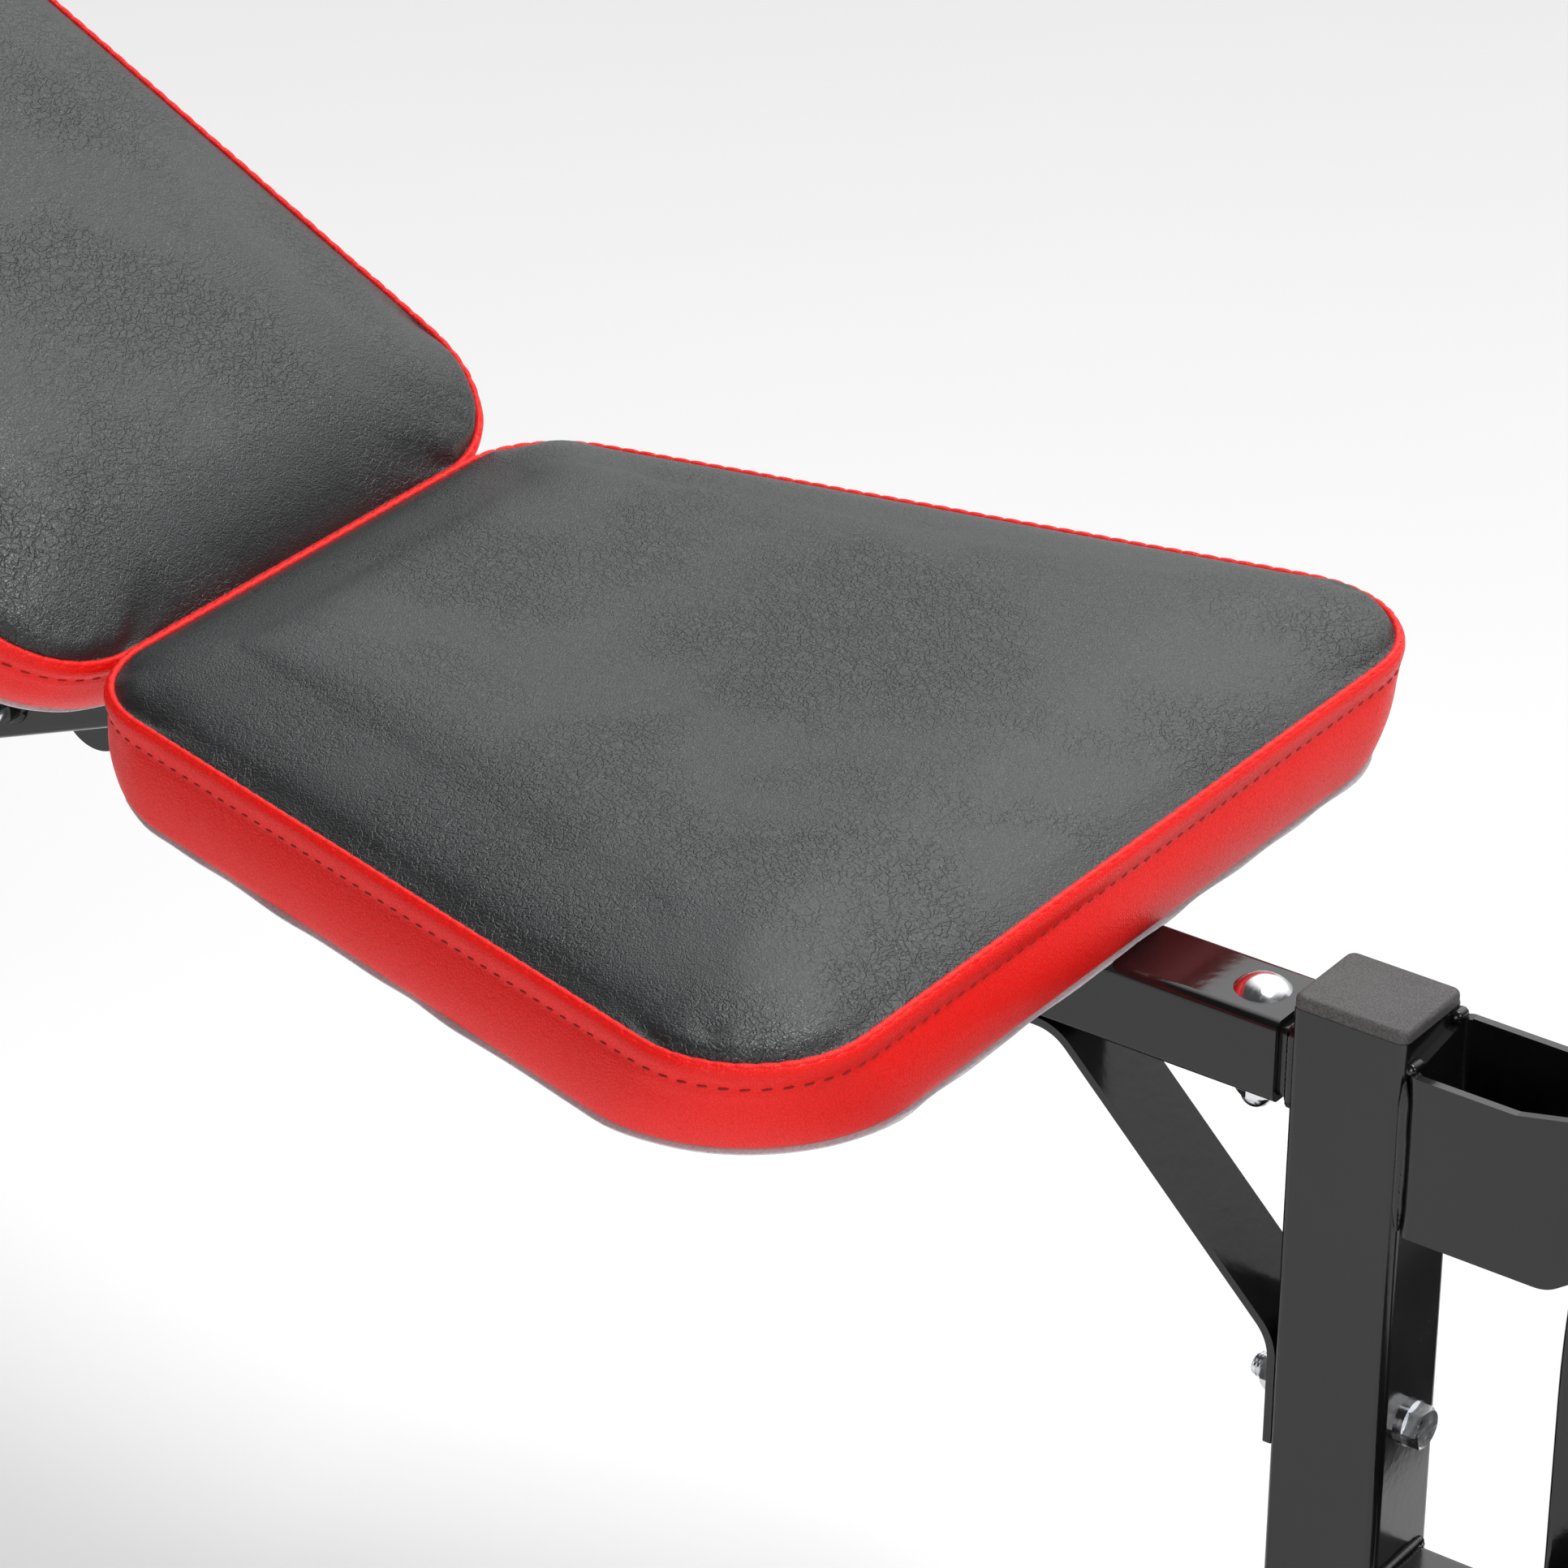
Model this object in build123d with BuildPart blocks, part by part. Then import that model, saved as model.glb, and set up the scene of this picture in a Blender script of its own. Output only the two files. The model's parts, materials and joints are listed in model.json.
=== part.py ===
from build123d import *
from math import atan2, cos, degrees, hypot, radians, sin, tan
import os

# Adjustable sit-up bench. The origin is on the floor, under the middle of the
# bench's length. +X runs along the bench to the foot end, +Z is up.
# All sizes are millimetres and degrees.

os.makedirs("parts", exist_ok=True)

# ---- Steel sections ----
wall = 2.0
section_r = 3.5
plug_slack = 0.6

# ---- Front post ----
post_x = 375.35
post_top = 460.0
post_depth = 42.0
post_width = 36.0
cap_rise = 4.5
cap_plug = 16.0

# ---- Feet: a crossbar under each end, standing on plastic end shoes ----
foot_depth = 50.0
foot_height = 40.0
foot_clear = 4.0
front_foot_length = 440.0
rear_foot_length = 400.0
shoe_length = 32.0
shoe_skin = 3.0

# ---- Main beam ----
beam_width = 34.0
beam_height = 30.0
beam_drop = 9.0
beam_gap = 5.5
beam_bend_r = 60.0
bend_back = 443.0
first_slope = 22.0
low_bend_back = 594.0
rear_foot_back = 910.2

# ---- Distances measured back from the rear face of the post ----
joint_bolt_back = 21.0
stub_length = 48.0
brace_corner_back = 89.0
brace_bolt_back = 123.0
brace_end_back = 145.0
seat_front_back = 69.0
hinge_back = 438.0

# ---- Brace ----
brace_thick = 3.0
brace_width = 32.0
brace_corner_drop = 127.0
brace_bolt_drop = 150.0
brace_tip_drop = 167.0
brace_bend_r = 18.0

# ---- Bracket that carries the leg arm ----
plate = 3.0
bracket_drop = 10.0
bracket_height = 59.0
bracket_bend_r = 5.0
far_cheek_rise = 6.5
bracket_low_run = 55.0
bracket_high_run = 40.0
ear_reach = 25.0
ear_rise = 36.0
arm_pivot_reach = 84.3
arm_pivot_drop = 30.0

# ---- Leg arm ----
arm_width = 28.0
arm_depth = 38.0
arm_rear_reach = 58.6
arm_curve_r = 480.0
arm_curve_drop = 110.0
arm_curve_angle = 12.0
arm_knee_drop = 245.0
arm_knee_r = 55.0
arm_foot_lean = 33.0
arm_foot_run = 158.0
upper_bar_drop = 208.0
lower_bar_run = 132.0
stop_drop = 216.0
pivot_tube_r = 9.0
bush_r = 7.0
bush_depth = 10.0

# ---- Foam rollers ----
bar_r = 12.5
roller_r = 38.0
roller_length = 150.0
roller_gap = 4.0
roller_round = 9.0
roller_flange = 4.0
roller_cap_r = 21.5
roller_spacer_r = 17.5
running = 0.08
side_clear = 0.3

# ---- Pads ----
pad_corner_r = 45.0
board_thick = 12.0
backing_thick = 1.0
crown_rise = 12.0
crown_inset = 38.0
board_inset = 5.0
board_corner_r = 68.0
seat_length = 345.0
seat_front_half = 208.0
seat_rear_half = 122.0
seat_side = 38.0
pad_waist_r = 320.0
back_length = 596.0
back_low_half = 139.0
back_waist_run = 385.0
back_waist_half = 84.0
back_high_half = 80.0
back_side = 36.0
back_start = 8.0

# ---- Backrest frame, drawn at its steepest setting ----
back_angle = 33.0
back_travel = 43.0
rail_width = 20.0
rail_height = 26.0
rail_inner = 24.0
rail_front = 18.0
rail_length = 430.0
plate_width = 40.0
plate_span = 132.0
plate_runs = (110.0, 350.0)
back_screw_half = 54.0
seat_screw_half = 64.0
tee_nut_r = 4.2
tee_nut_flange = 1.2
pocket_r = 12.0

# ---- Backrest hinge ----
sleeve_r = 8.0
spacer_r = 9.0

# ---- Backrest lock: a sector with a hole for each setting ----
lock_run = 105.0
sector_thick = 5.0
sector_inner = 19.0
sector_half_band = 16.0
settings = 6
lock_pin_r = 5.0
lock_travel = 9.0

# ---- Fasteners ----
m6_r = 3.0
m8_r = 4.0
m10_r = 5.0
bolt_clear = 0.2
m6_flats = 10.0
m8_flats = 13.0
m10_flats = 16.0
washer_thick = 1.6
head_round = 0.49
head_flare = 1.7
dome_part = 0.44
carriage_head_r = 9.5
carriage_head_height = 4.4

# ---- Places worked out from the sizes above ----
rear_face = post_x - post_depth / 2
front_face = post_x + post_depth / 2
foot_top = foot_clear + foot_height
beam_top = post_top - beam_drop
beam_z = beam_top - beam_height / 2
beam_bottom = beam_top - beam_height
bend_x = rear_face - bend_back
rear_foot_x = rear_face - rear_foot_back
low_bend_x = rear_face - low_bend_back
low_bend_z = beam_z - (bend_x - low_bend_x) * tan(radians(first_slope))
beam_slope = degrees(atan2(low_bend_z - foot_top, low_bend_x - rear_foot_x))
hinge_x = rear_face - hinge_back
hinge_z = beam_z
seat_front = rear_face - seat_front_back
seat_rear = seat_front - seat_length
brace_bolt_z = post_top - brace_bolt_drop
pivot_x = front_face + arm_pivot_reach
pivot_z = post_top - arm_pivot_drop
arm_x = front_face + arm_rear_reach + arm_depth / 2
knee_z = post_top - arm_knee_drop
cheek_inner = post_width / 2 - plate
bar_half = arm_width / 2 + roller_gap + roller_length + 2 * side_clear
lean = radians(arm_foot_lean)
upper_bar = (arm_x, post_top - upper_bar_drop)
lower_bar = (arm_x + lower_bar_run * sin(lean), knee_z - lower_bar_run * cos(lean))
back_board_h = rail_height / 2 + plate
lock_dx = bend_x - hinge_x - lock_run * cos(radians(first_slope))
lock_dz = -lock_run * sin(radians(first_slope))
lock_r = hypot(lock_dx, lock_dz)
lock_angle = degrees(atan2(-lock_dz, -lock_dx))

# Directions of the backrest: up along the pad, and out of its face
along = Vector(-cos(radians(back_angle)), 0, sin(radians(back_angle)))
out = Vector(sin(radians(back_angle)), 0, cos(radians(back_angle)))
hinge_point = Vector(hinge_x, 0, hinge_z)


def save(piece, label):
    """Name a finished piece and write it to its own file."""
    piece.part.label = label
    export_step(piece.part, f"parts/{label}.step")


def back_point(run, height, y=0.0):
    """A point on the backrest: run up the pad, height out from the hinge."""
    return hinge_point + along * run + out * height + Vector(0, y, 0)


def back_plane(run, height, y=0.0):
    """A plane parallel to the backrest's face."""
    return Plane(origin=back_point(run, height, y), x_dir=along, z_dir=out)


def across(x, z, y=0.0):
    """A plane whose normal runs across the bench."""
    return Plane(origin=(x, y, z), x_dir=(1, 0, 0), z_dir=(0, 1, 0))


def tube_section(width, height, radius=section_r):
    """A hollow rectangular section in the sketch that is open."""
    RectangleRounded(width, height, radius)
    RectangleRounded(width - 2 * wall, height - 2 * wall, radius - wall / 2, mode=Mode.SUBTRACT)


def plug_shape(width, height):
    """The hollow shape that fits loosely inside a tube of this outer size."""
    inner_width = width - 2 * wall - plug_slack
    inner_height = height - 2 * wall - plug_slack
    RectangleRounded(inner_width, inner_height, section_r - 0.5)
    RectangleRounded(inner_width - 2 * wall, inner_height - 2 * wall, 1.0, mode=Mode.SUBTRACT)


def drill(plane, radius, reach):
    """Cut a round hole through the part that is open, along the plane's normal."""
    with Locations(plane):
        Cylinder(radius, reach, mode=Mode.SUBTRACT)


# ======================= Frame =======================

def foot_bar(x, length, label):
    """A crossbar lying across the bench, with a plastic shoe on each end."""
    middle = foot_clear + foot_height / 2
    with BuildPart() as bar:
        with BuildSketch(across(x, middle, -length / 2)):
            tube_section(foot_depth, foot_height)
        extrude(amount=length)
    save(bar, f"{label}_foot")

    shoe_depth = foot_depth + 2 * shoe_skin
    shoe_height = foot_top + shoe_skin
    shoe_end = length / 2 + shoe_skin
    with BuildPart() as shoes:
        for side in (-1, 1):
            with BuildSketch(across(x, shoe_height / 2, side * (shoe_end - shoe_length / 2))):
                RectangleRounded(shoe_depth, shoe_height, section_r + shoe_skin)
            extrude(amount=shoe_length / 2, both=True)
        fillet(shoes.faces().sort_by(Axis.Y)[-1].edges(), shoe_skin - 0.5)
        fillet(shoes.faces().sort_by(Axis.Y)[0].edges(), shoe_skin - 0.5)
        with BuildSketch(across(x, middle, -length / 2)):
            RectangleRounded(foot_depth, foot_height, section_r)
        extrude(amount=length, mode=Mode.SUBTRACT)
    save(shoes, f"{label}_foot_shoes")


foot_bar(post_x, front_foot_length, "front")
foot_bar(rear_foot_x, rear_foot_length, "rear")

with BuildPart() as front_post:
    with BuildSketch(Plane.XY.offset(foot_top)):
        with Locations((post_x, 0)):
            tube_section(post_depth, post_width)
    extrude(amount=post_top - foot_top)
    drill(Plane((post_x, 0, brace_bolt_z), z_dir=(1, 0, 0)), m8_r + bolt_clear, 2 * post_depth)
save(front_post, "front_post")

with BuildPart() as post_cap:
    with BuildSketch(Plane.XY.offset(post_top)):
        with Locations((post_x, 0)):
            RectangleRounded(post_depth - 0.4, post_width - 0.4, section_r)
    extrude(amount=cap_rise)
    fillet(post_cap.faces().sort_by(Axis.Z)[-1].edges(), 2.0)
    with BuildSketch(Plane.XY.offset(post_top)):
        with Locations((post_x, 0)):
            plug_shape(post_depth, post_width)
    extrude(amount=-cap_plug)
save(post_cap, "post_cap")

# Short stub on the post that the beam slides over
stub_end = rear_face - beam_gap - stub_length
with BuildPart() as beam_stub:
    with BuildSketch(Plane((stub_end, 0, beam_z), x_dir=(0, 1, 0), z_dir=(1, 0, 0))):
        tube_section(
            beam_width - 2 * wall - plug_slack,
            beam_height - 2 * wall - plug_slack,
            section_r - 1,
        )
    extrude(amount=rear_face - stub_end)
    drill(Plane((rear_face - joint_bolt_back, 0, beam_z)), m8_r + bolt_clear, 2 * beam_height)
save(beam_stub, "beam_stub")

# Main beam: level under the seat, a gentle slope past the hinge, then steeper to the rear foot
slope_end_z = foot_top - beam_height
slope_end_x = low_bend_x - (low_bend_z - slope_end_z) / tan(radians(beam_slope))
with BuildPart() as main_beam:
    with BuildLine(Plane.XZ):
        FilletPolyline(
            (rear_face - beam_gap, beam_z),
            (bend_x, beam_z),
            (low_bend_x, low_bend_z),
            (slope_end_x, slope_end_z),
            radius=beam_bend_r,
        )
    with BuildSketch(Plane((rear_face - beam_gap, 0, beam_z), x_dir=(0, 1, 0), z_dir=(-1, 0, 0))):
        tube_section(beam_width, beam_height)
    sweep()
    split(bisect_by=Plane.XY.offset(foot_top), keep=Keep.TOP)
    for bolt_back in (joint_bolt_back, brace_bolt_back):
        drill(Plane((rear_face - bolt_back, 0, beam_z)), m8_r + bolt_clear, 2 * beam_height)
    drill(across(hinge_x, hinge_z), m10_r + bolt_clear, 2 * beam_width)
    drill(across(hinge_x + lock_dx, hinge_z + lock_dz), lock_pin_r + wall, 2 * beam_width)
save(main_beam, "main_beam")

# Flat bar brace, bent at both ends, under the beam and down to the post
with BuildPart() as seat_brace:
    with BuildLine(Plane.XZ) as brace_path:
        FilletPolyline(
            (rear_face - brace_end_back, beam_bottom - brace_thick / 2),
            (rear_face - brace_corner_back, beam_bottom - brace_thick / 2),
            (rear_face - brace_thick / 2, post_top - brace_corner_drop),
            (rear_face - brace_thick / 2, post_top - brace_tip_drop),
            radius=brace_bend_r,
        )
    start = brace_path.line @ 0
    with BuildSketch(Plane(start, x_dir=(0, 1, 0), z_dir=(1, 0, 0))):
        Rectangle(brace_width, brace_thick)
    sweep()
    drill(Plane((rear_face - brace_bolt_back, 0, beam_bottom)), m8_r + bolt_clear, beam_height)
    drill(Plane((rear_face, 0, brace_bolt_z), z_dir=(1, 0, 0)), m8_r + bolt_clear, post_depth)
save(seat_brace, "seat_brace")

# Folded bracket on the front of the post: a web and two cheeks, the far one taller
bracket_top = post_top - bracket_drop
bracket_bottom = bracket_top - bracket_height
cheek_tops = {-1: bracket_top, 1: bracket_top + far_cheek_rise}
ear_x = pivot_x + ear_reach
with BuildPart() as arm_bracket:
    with BuildSketch(Plane.XY.offset(bracket_bottom)):
        with BuildLine():
            FilletPolyline(
                (ear_x + bracket_bend_r, post_width / 2),
                (front_face, post_width / 2),
                (front_face, -post_width / 2),
                (ear_x + bracket_bend_r, -post_width / 2),
                radius=bracket_bend_r,
            )
            offset(amount=-plate, side=Side.LEFT)
        make_face()
    extrude(amount=2 * bracket_height)
    with BuildPart(mode=Mode.PRIVATE) as limits:
        for side, top in cheek_tops.items():
            with BuildSketch(across(front_face, 0)):
                with BuildLine():
                    FilletPolyline(
                        (bracket_bend_r, -bracket_bottom),
                        (bracket_low_run, -bracket_bottom),
                        (ear_x - front_face, -pivot_z),
                        (ear_x - front_face, -pivot_z - ear_rise),
                        (bracket_high_run, -top),
                        (bracket_bend_r, -top),
                        radius=[0, 14, 16, 20, 6, 0],
                        close=True,
                    )
                make_face()
            extrude(amount=side * post_width / 2)
        with BuildSketch(Plane((front_face, 0, 0), x_dir=(0, 1, 0), z_dir=(1, 0, 0))):
            with BuildLine():
                Polyline(
                    (-post_width / 2, bracket_bottom),
                    (post_width / 2, bracket_bottom),
                    (post_width / 2, cheek_tops[1]),
                    (-post_width / 2, cheek_tops[-1]),
                    close=True,
                )
            make_face()
        extrude(amount=bracket_bend_r)
    add(limits.part, mode=Mode.INTERSECT)
    drill(across(pivot_x, pivot_z), m10_r + bolt_clear, 2 * post_width)
save(arm_bracket, "arm_bracket")

# Stop for the leg arm: a welded stub tube with a rubber buffer in its end
stop_z = post_top - stop_drop
stop_size = 24.0
stop_length = 44.0
buffer_plug = 10.0
with BuildPart() as stop_stub:
    with BuildSketch(Plane((front_face, 0, stop_z), x_dir=(0, 1, 0), z_dir=(1, 0, 0))):
        tube_section(stop_size, stop_size)
    extrude(amount=stop_length)
save(stop_stub, "stop_stub")

with BuildPart() as stop_buffer:
    with BuildSketch(Plane((front_face + stop_length, 0, stop_z), z_dir=(1, 0, 0))):
        RectangleRounded(stop_size, stop_size, section_r)
    extrude(amount=arm_rear_reach - stop_length - side_clear)
    fillet(stop_buffer.faces().sort_by(Axis.X)[-1].edges(), 3.0)
    with BuildSketch(Plane((front_face + stop_length, 0, stop_z), z_dir=(-1, 0, 0))):
        plug_shape(stop_size, stop_size)
    extrude(amount=buffer_plug)
save(stop_buffer, "stop_buffer")

# Angle brackets on the sides of the beam that the seat is screwed to
seat_bracket_reach = 82.0
seat_bracket_width = 36.0
seat_bracket_leg = 24.0
seat_bracket_xs = (seat_front - 75, seat_rear + 75)
with BuildPart() as seat_brackets:
    for bracket_x in seat_bracket_xs:
        for side in (-1, 1):
            with BuildSketch(Plane((bracket_x, 0, beam_top), x_dir=(0, side, 0), z_dir=(-1, 0, 0))):
                with BuildLine():
                    Polyline(
                        (beam_width / 2, 0),
                        (seat_bracket_reach, 0),
                        (seat_bracket_reach, side * plate),
                        (beam_width / 2 + plate, side * plate),
                        (beam_width / 2 + plate, side * seat_bracket_leg),
                        (beam_width / 2, side * seat_bracket_leg),
                        close=True,
                    )
                make_face()
            extrude(amount=seat_bracket_width / 2, both=True)
            drill(
                Plane((bracket_x, side * seat_screw_half, beam_top)),
                m6_r + bolt_clear,
                4 * plate,
            )
save(seat_brackets, "seat_brackets")


# ======================= Leg arm =======================

# The arm hangs straight down, leans forward below the knee and curves gently at the top
with BuildPart() as leg_arm:
    with BuildLine(Plane.XZ) as arm_path:
        FilletPolyline(
            (arm_x + arm_foot_run * sin(lean), knee_z - arm_foot_run * cos(lean)),
            (arm_x, knee_z),
            (arm_x, post_top - arm_curve_drop),
            radius=arm_knee_r,
        )
        JernArc(arm_path.line @ 1, (0, 1), arm_curve_r, -arm_curve_angle)
    with BuildSketch(Plane(arm_path.line @ 0, x_dir=(0, 1, 0), z_dir=arm_path.line % 0)):
        tube_section(arm_width, arm_depth)
    sweep()
    drill(across(pivot_x, pivot_z), pivot_tube_r, 2 * arm_width)
    for bar_x, bar_z in (upper_bar, lower_bar):
        drill(across(bar_x, bar_z), bar_r, 2 * arm_width)
save(leg_arm, "leg_arm")

arm_top = arm_path.line @ 1
arm_low = arm_path.line @ 0
with BuildPart() as arm_caps:
    for end, heading in ((arm_top, arm_path.line % 1), (arm_low, -(arm_path.line % 0))):
        end_plane = Plane(end, x_dir=(0, 1, 0), z_dir=heading)
        with BuildSketch(end_plane):
            RectangleRounded(arm_width - 0.4, arm_depth - 0.4, section_r)
        extrude(amount=cap_rise)
        with BuildSketch(end_plane):
            plug_shape(arm_width, arm_depth)
        extrude(amount=-cap_plug / 2)
save(arm_caps, "arm_caps")

# Pivot tube welded through the arm, with a flanged bush in each end
bush_flange = cheek_inner - arm_width / 2 - 0.1
with BuildPart() as arm_pivot_tube:
    with BuildSketch(across(pivot_x, pivot_z)):
        Circle(pivot_tube_r)
        Circle(bush_r, mode=Mode.SUBTRACT)
    extrude(amount=arm_width / 2, both=True)
save(arm_pivot_tube, "arm_pivot_tube")

with BuildPart() as arm_bushes:
    for side in (-1, 1):
        with BuildSketch(across(pivot_x, pivot_z, side * arm_width / 2)):
            Circle(bush_r + 3)
            Circle(m10_r + running, mode=Mode.SUBTRACT)
        extrude(amount=side * bush_flange)
        with BuildSketch(across(pivot_x, pivot_z, side * arm_width / 2)):
            Circle(bush_r)
            Circle(m10_r + running, mode=Mode.SUBTRACT)
        extrude(amount=-side * bush_depth)
save(arm_bushes, "arm_bushes")


def roller_bar(place, label):
    """One steel bar through the arm, its spacers, its end caps and two foam rollers."""
    x, z = place
    inner = arm_width / 2
    with BuildPart() as bar:
        with BuildSketch(across(x, z, -bar_half)):
            Circle(bar_r)
            Circle(bar_r - wall, mode=Mode.SUBTRACT)
        extrude(amount=2 * bar_half)
    save(bar, f"{label}_roller_bar")

    with BuildPart() as spacers:
        for side in (-1, 1):
            with BuildSketch(across(x, z, side * inner)):
                Circle(roller_spacer_r)
                Circle(bar_r, mode=Mode.SUBTRACT)
            extrude(amount=side * roller_gap)
    save(spacers, f"{label}_roller_spacers")

    with BuildPart() as caps:
        for side in (-1, 1):
            with BuildSketch(across(x, z, side * bar_half)):
                Circle(roller_cap_r)
            extrude(amount=side * roller_flange)
            with BuildSketch(across(x, z, side * bar_half)):
                Circle(bar_r - wall - 0.2)
            extrude(amount=-side * cap_plug)
        fillet(caps.faces().sort_by(Axis.Y)[-1].edges(), 2.0)
        fillet(caps.faces().sort_by(Axis.Y)[0].edges(), 2.0)
    save(caps, f"{label}_roller_caps")

    for side, hand in ((-1, "right"), (1, "left")):
        start_y = side * (inner + roller_gap + side_clear)
        with BuildPart() as roller:
            with BuildSketch(across(x, z, start_y)):
                Circle(roller_r)
            extrude(amount=side * roller_length)
            fillet(roller.edges(), roller_round)
            drill(across(x, z, start_y), bar_r + running, 3 * roller_length)
        save(roller, f"{label}_{hand}_roller")


roller_bar(upper_bar, "upper")
roller_bar(lower_bar, "lower")


# ======================= Backrest frame =======================

with BuildPart() as back_rails:
    for side in (-1, 1):
        rail_y = side * (rail_inner + rail_width / 2)
        with BuildSketch(Plane(back_point(-rail_front, 0, rail_y), x_dir=(0, 1, 0), z_dir=along)):
            tube_section(rail_width, rail_height, 3.0)
        extrude(amount=rail_front + rail_length)
    drill(across(hinge_x, hinge_z), sleeve_r, 4 * rail_inner)
save(back_rails, "back_rails")

with BuildPart() as rail_caps:
    for side in (-1, 1):
        rail_y = side * (rail_inner + rail_width / 2)
        for run, heading in ((rail_length, 1), (-rail_front, -1)):
            end_plane = Plane(back_point(run, 0, rail_y), x_dir=(0, 1, 0), z_dir=along * heading)
            with BuildSketch(end_plane):
                RectangleRounded(rail_width - 0.4, rail_height - 0.4, 3.0)
            extrude(amount=plate)
            with BuildSketch(end_plane):
                RectangleRounded(
                    rail_width - 2 * wall - plug_slack,
                    rail_height - 2 * wall - plug_slack,
                    wall,
                )
            extrude(amount=-5)
save(rail_caps, "rail_caps")

with BuildPart() as back_cross_plates:
    for run in plate_runs:
        with BuildSketch(back_plane(run, rail_height / 2)):
            RectangleRounded(plate_width, plate_span, 6)
            with GridLocations(0, 2 * back_screw_half, 1, 2):
                Circle(m6_r + bolt_clear, mode=Mode.SUBTRACT)
        extrude(amount=plate)
save(back_cross_plates, "back_cross_plates")

# Welded sleeves in the rails, bushes that turn on the hinge bolt
hinge_end = rail_inner + rail_width
with BuildPart() as hinge_sleeves:
    for side in (-1, 1):
        with BuildSketch(across(hinge_x, hinge_z, side * rail_inner)):
            Circle(sleeve_r)
            Circle(m10_r + running, mode=Mode.SUBTRACT)
        extrude(amount=side * rail_width)
save(hinge_sleeves, "hinge_sleeves")

with BuildPart() as hinge_spacers:
    for side in (-1, 1):
        with BuildSketch(across(hinge_x, hinge_z, side * beam_width / 2)):
            Circle(spacer_r)
            Circle(m10_r + running, mode=Mode.SUBTRACT)
        extrude(amount=side * (rail_inner - beam_width / 2 - side_clear))
save(hinge_spacers, "hinge_spacers")

# Curved sector under one rail with a hole for each back setting
sector_tail = 10.0
sector_start = 180 - lock_angle - sector_tail
sector_sweep = lock_angle + sector_tail + back_angle - 5
sector_line = CenterArc((0, 0), lock_r, sector_start, sector_sweep)
with BuildPart() as sector_plate:
    with BuildSketch(across(hinge_x, hinge_z, sector_inner)):
        SlotArc(sector_line, 2 * sector_half_band)
        with PolarLocations(lock_r, settings, 180 - lock_angle, back_travel, endpoint=True):
            Circle(lock_pin_r + bolt_clear, mode=Mode.SUBTRACT)
    extrude(amount=sector_thick)
save(sector_plate, "sector_plate")

# Lock: a sleeve welded through the beam and a pin with a knob, drawn pulled out
lock_x = hinge_x + lock_dx
lock_z = hinge_z + lock_dz
lock_sleeve_near = 24.0
knob_boss = 5.0
lock_pin_near = rail_inner + rail_width + knob_boss + lock_travel + 1
knob_r = 16.0
knob_length = 26.0
knob_grip_out = 4.0
knob_grip_r = 6.0
with BuildPart() as lock_sleeve:
    with BuildSketch(across(lock_x, lock_z, -lock_sleeve_near)):
        Circle(lock_pin_r + wall)
        Circle(lock_pin_r + running, mode=Mode.SUBTRACT)
    extrude(amount=lock_sleeve_near + beam_width / 2 + 0.5)
save(lock_sleeve, "lock_sleeve")

with BuildPart() as lock_pin:
    with BuildSketch(across(lock_x, lock_z, -lock_pin_near)):
        Circle(lock_pin_r)
    extrude(amount=lock_pin_near + beam_width / 2 + 1)
    chamfer(lock_pin.faces().sort_by(Axis.Y)[-1].edges(), 1.5)
save(lock_pin, "lock_pin")

with BuildPart() as lock_knob:
    with BuildSketch(across(lock_x, lock_z, -lock_pin_near)):
        Circle(knob_r)
        with PolarLocations(knob_r + knob_grip_out, 8):
            Circle(knob_grip_r, mode=Mode.SUBTRACT)
    extrude(amount=-knob_length)
    fillet(lock_knob.faces().sort_by(Axis.Y)[0].edges(), 2.0)
    with BuildSketch(across(lock_x, lock_z, -lock_pin_near)):
        Circle(lock_pin_r + 3)
    extrude(amount=knob_boss)
    drill(across(lock_x, lock_z, -lock_pin_near), lock_pin_r, 2 * knob_boss + 0.1)
save(lock_knob, "lock_knob")


# ======================= Pads =======================

def pad_outline(stations, shrink=0.0, corner_r=pad_corner_r):
    """The pad's plan in the sketch that is open: half widths at runs along its length.

    The ends are rounded, and the sides change direction in long soft bends.
    """
    near = [(run, -half) for run, half in stations]
    far = [(run, half) for run, half in reversed(stations)]
    one_side = [corner_r] + [pad_waist_r] * (len(stations) - 2) + [corner_r]
    with BuildLine() as edge:
        FilletPolyline(*near, *far, radius=one_side + one_side, close=True)
    make_face(edge.edges())
    if shrink:
        offset(amount=-shrink, mode=Mode.REPLACE)


def board_outline(stations):
    """The plan of the board and its cloth: smaller than the pad, with rounder corners."""
    pad_outline(stations, board_inset, board_corner_r)


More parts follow.
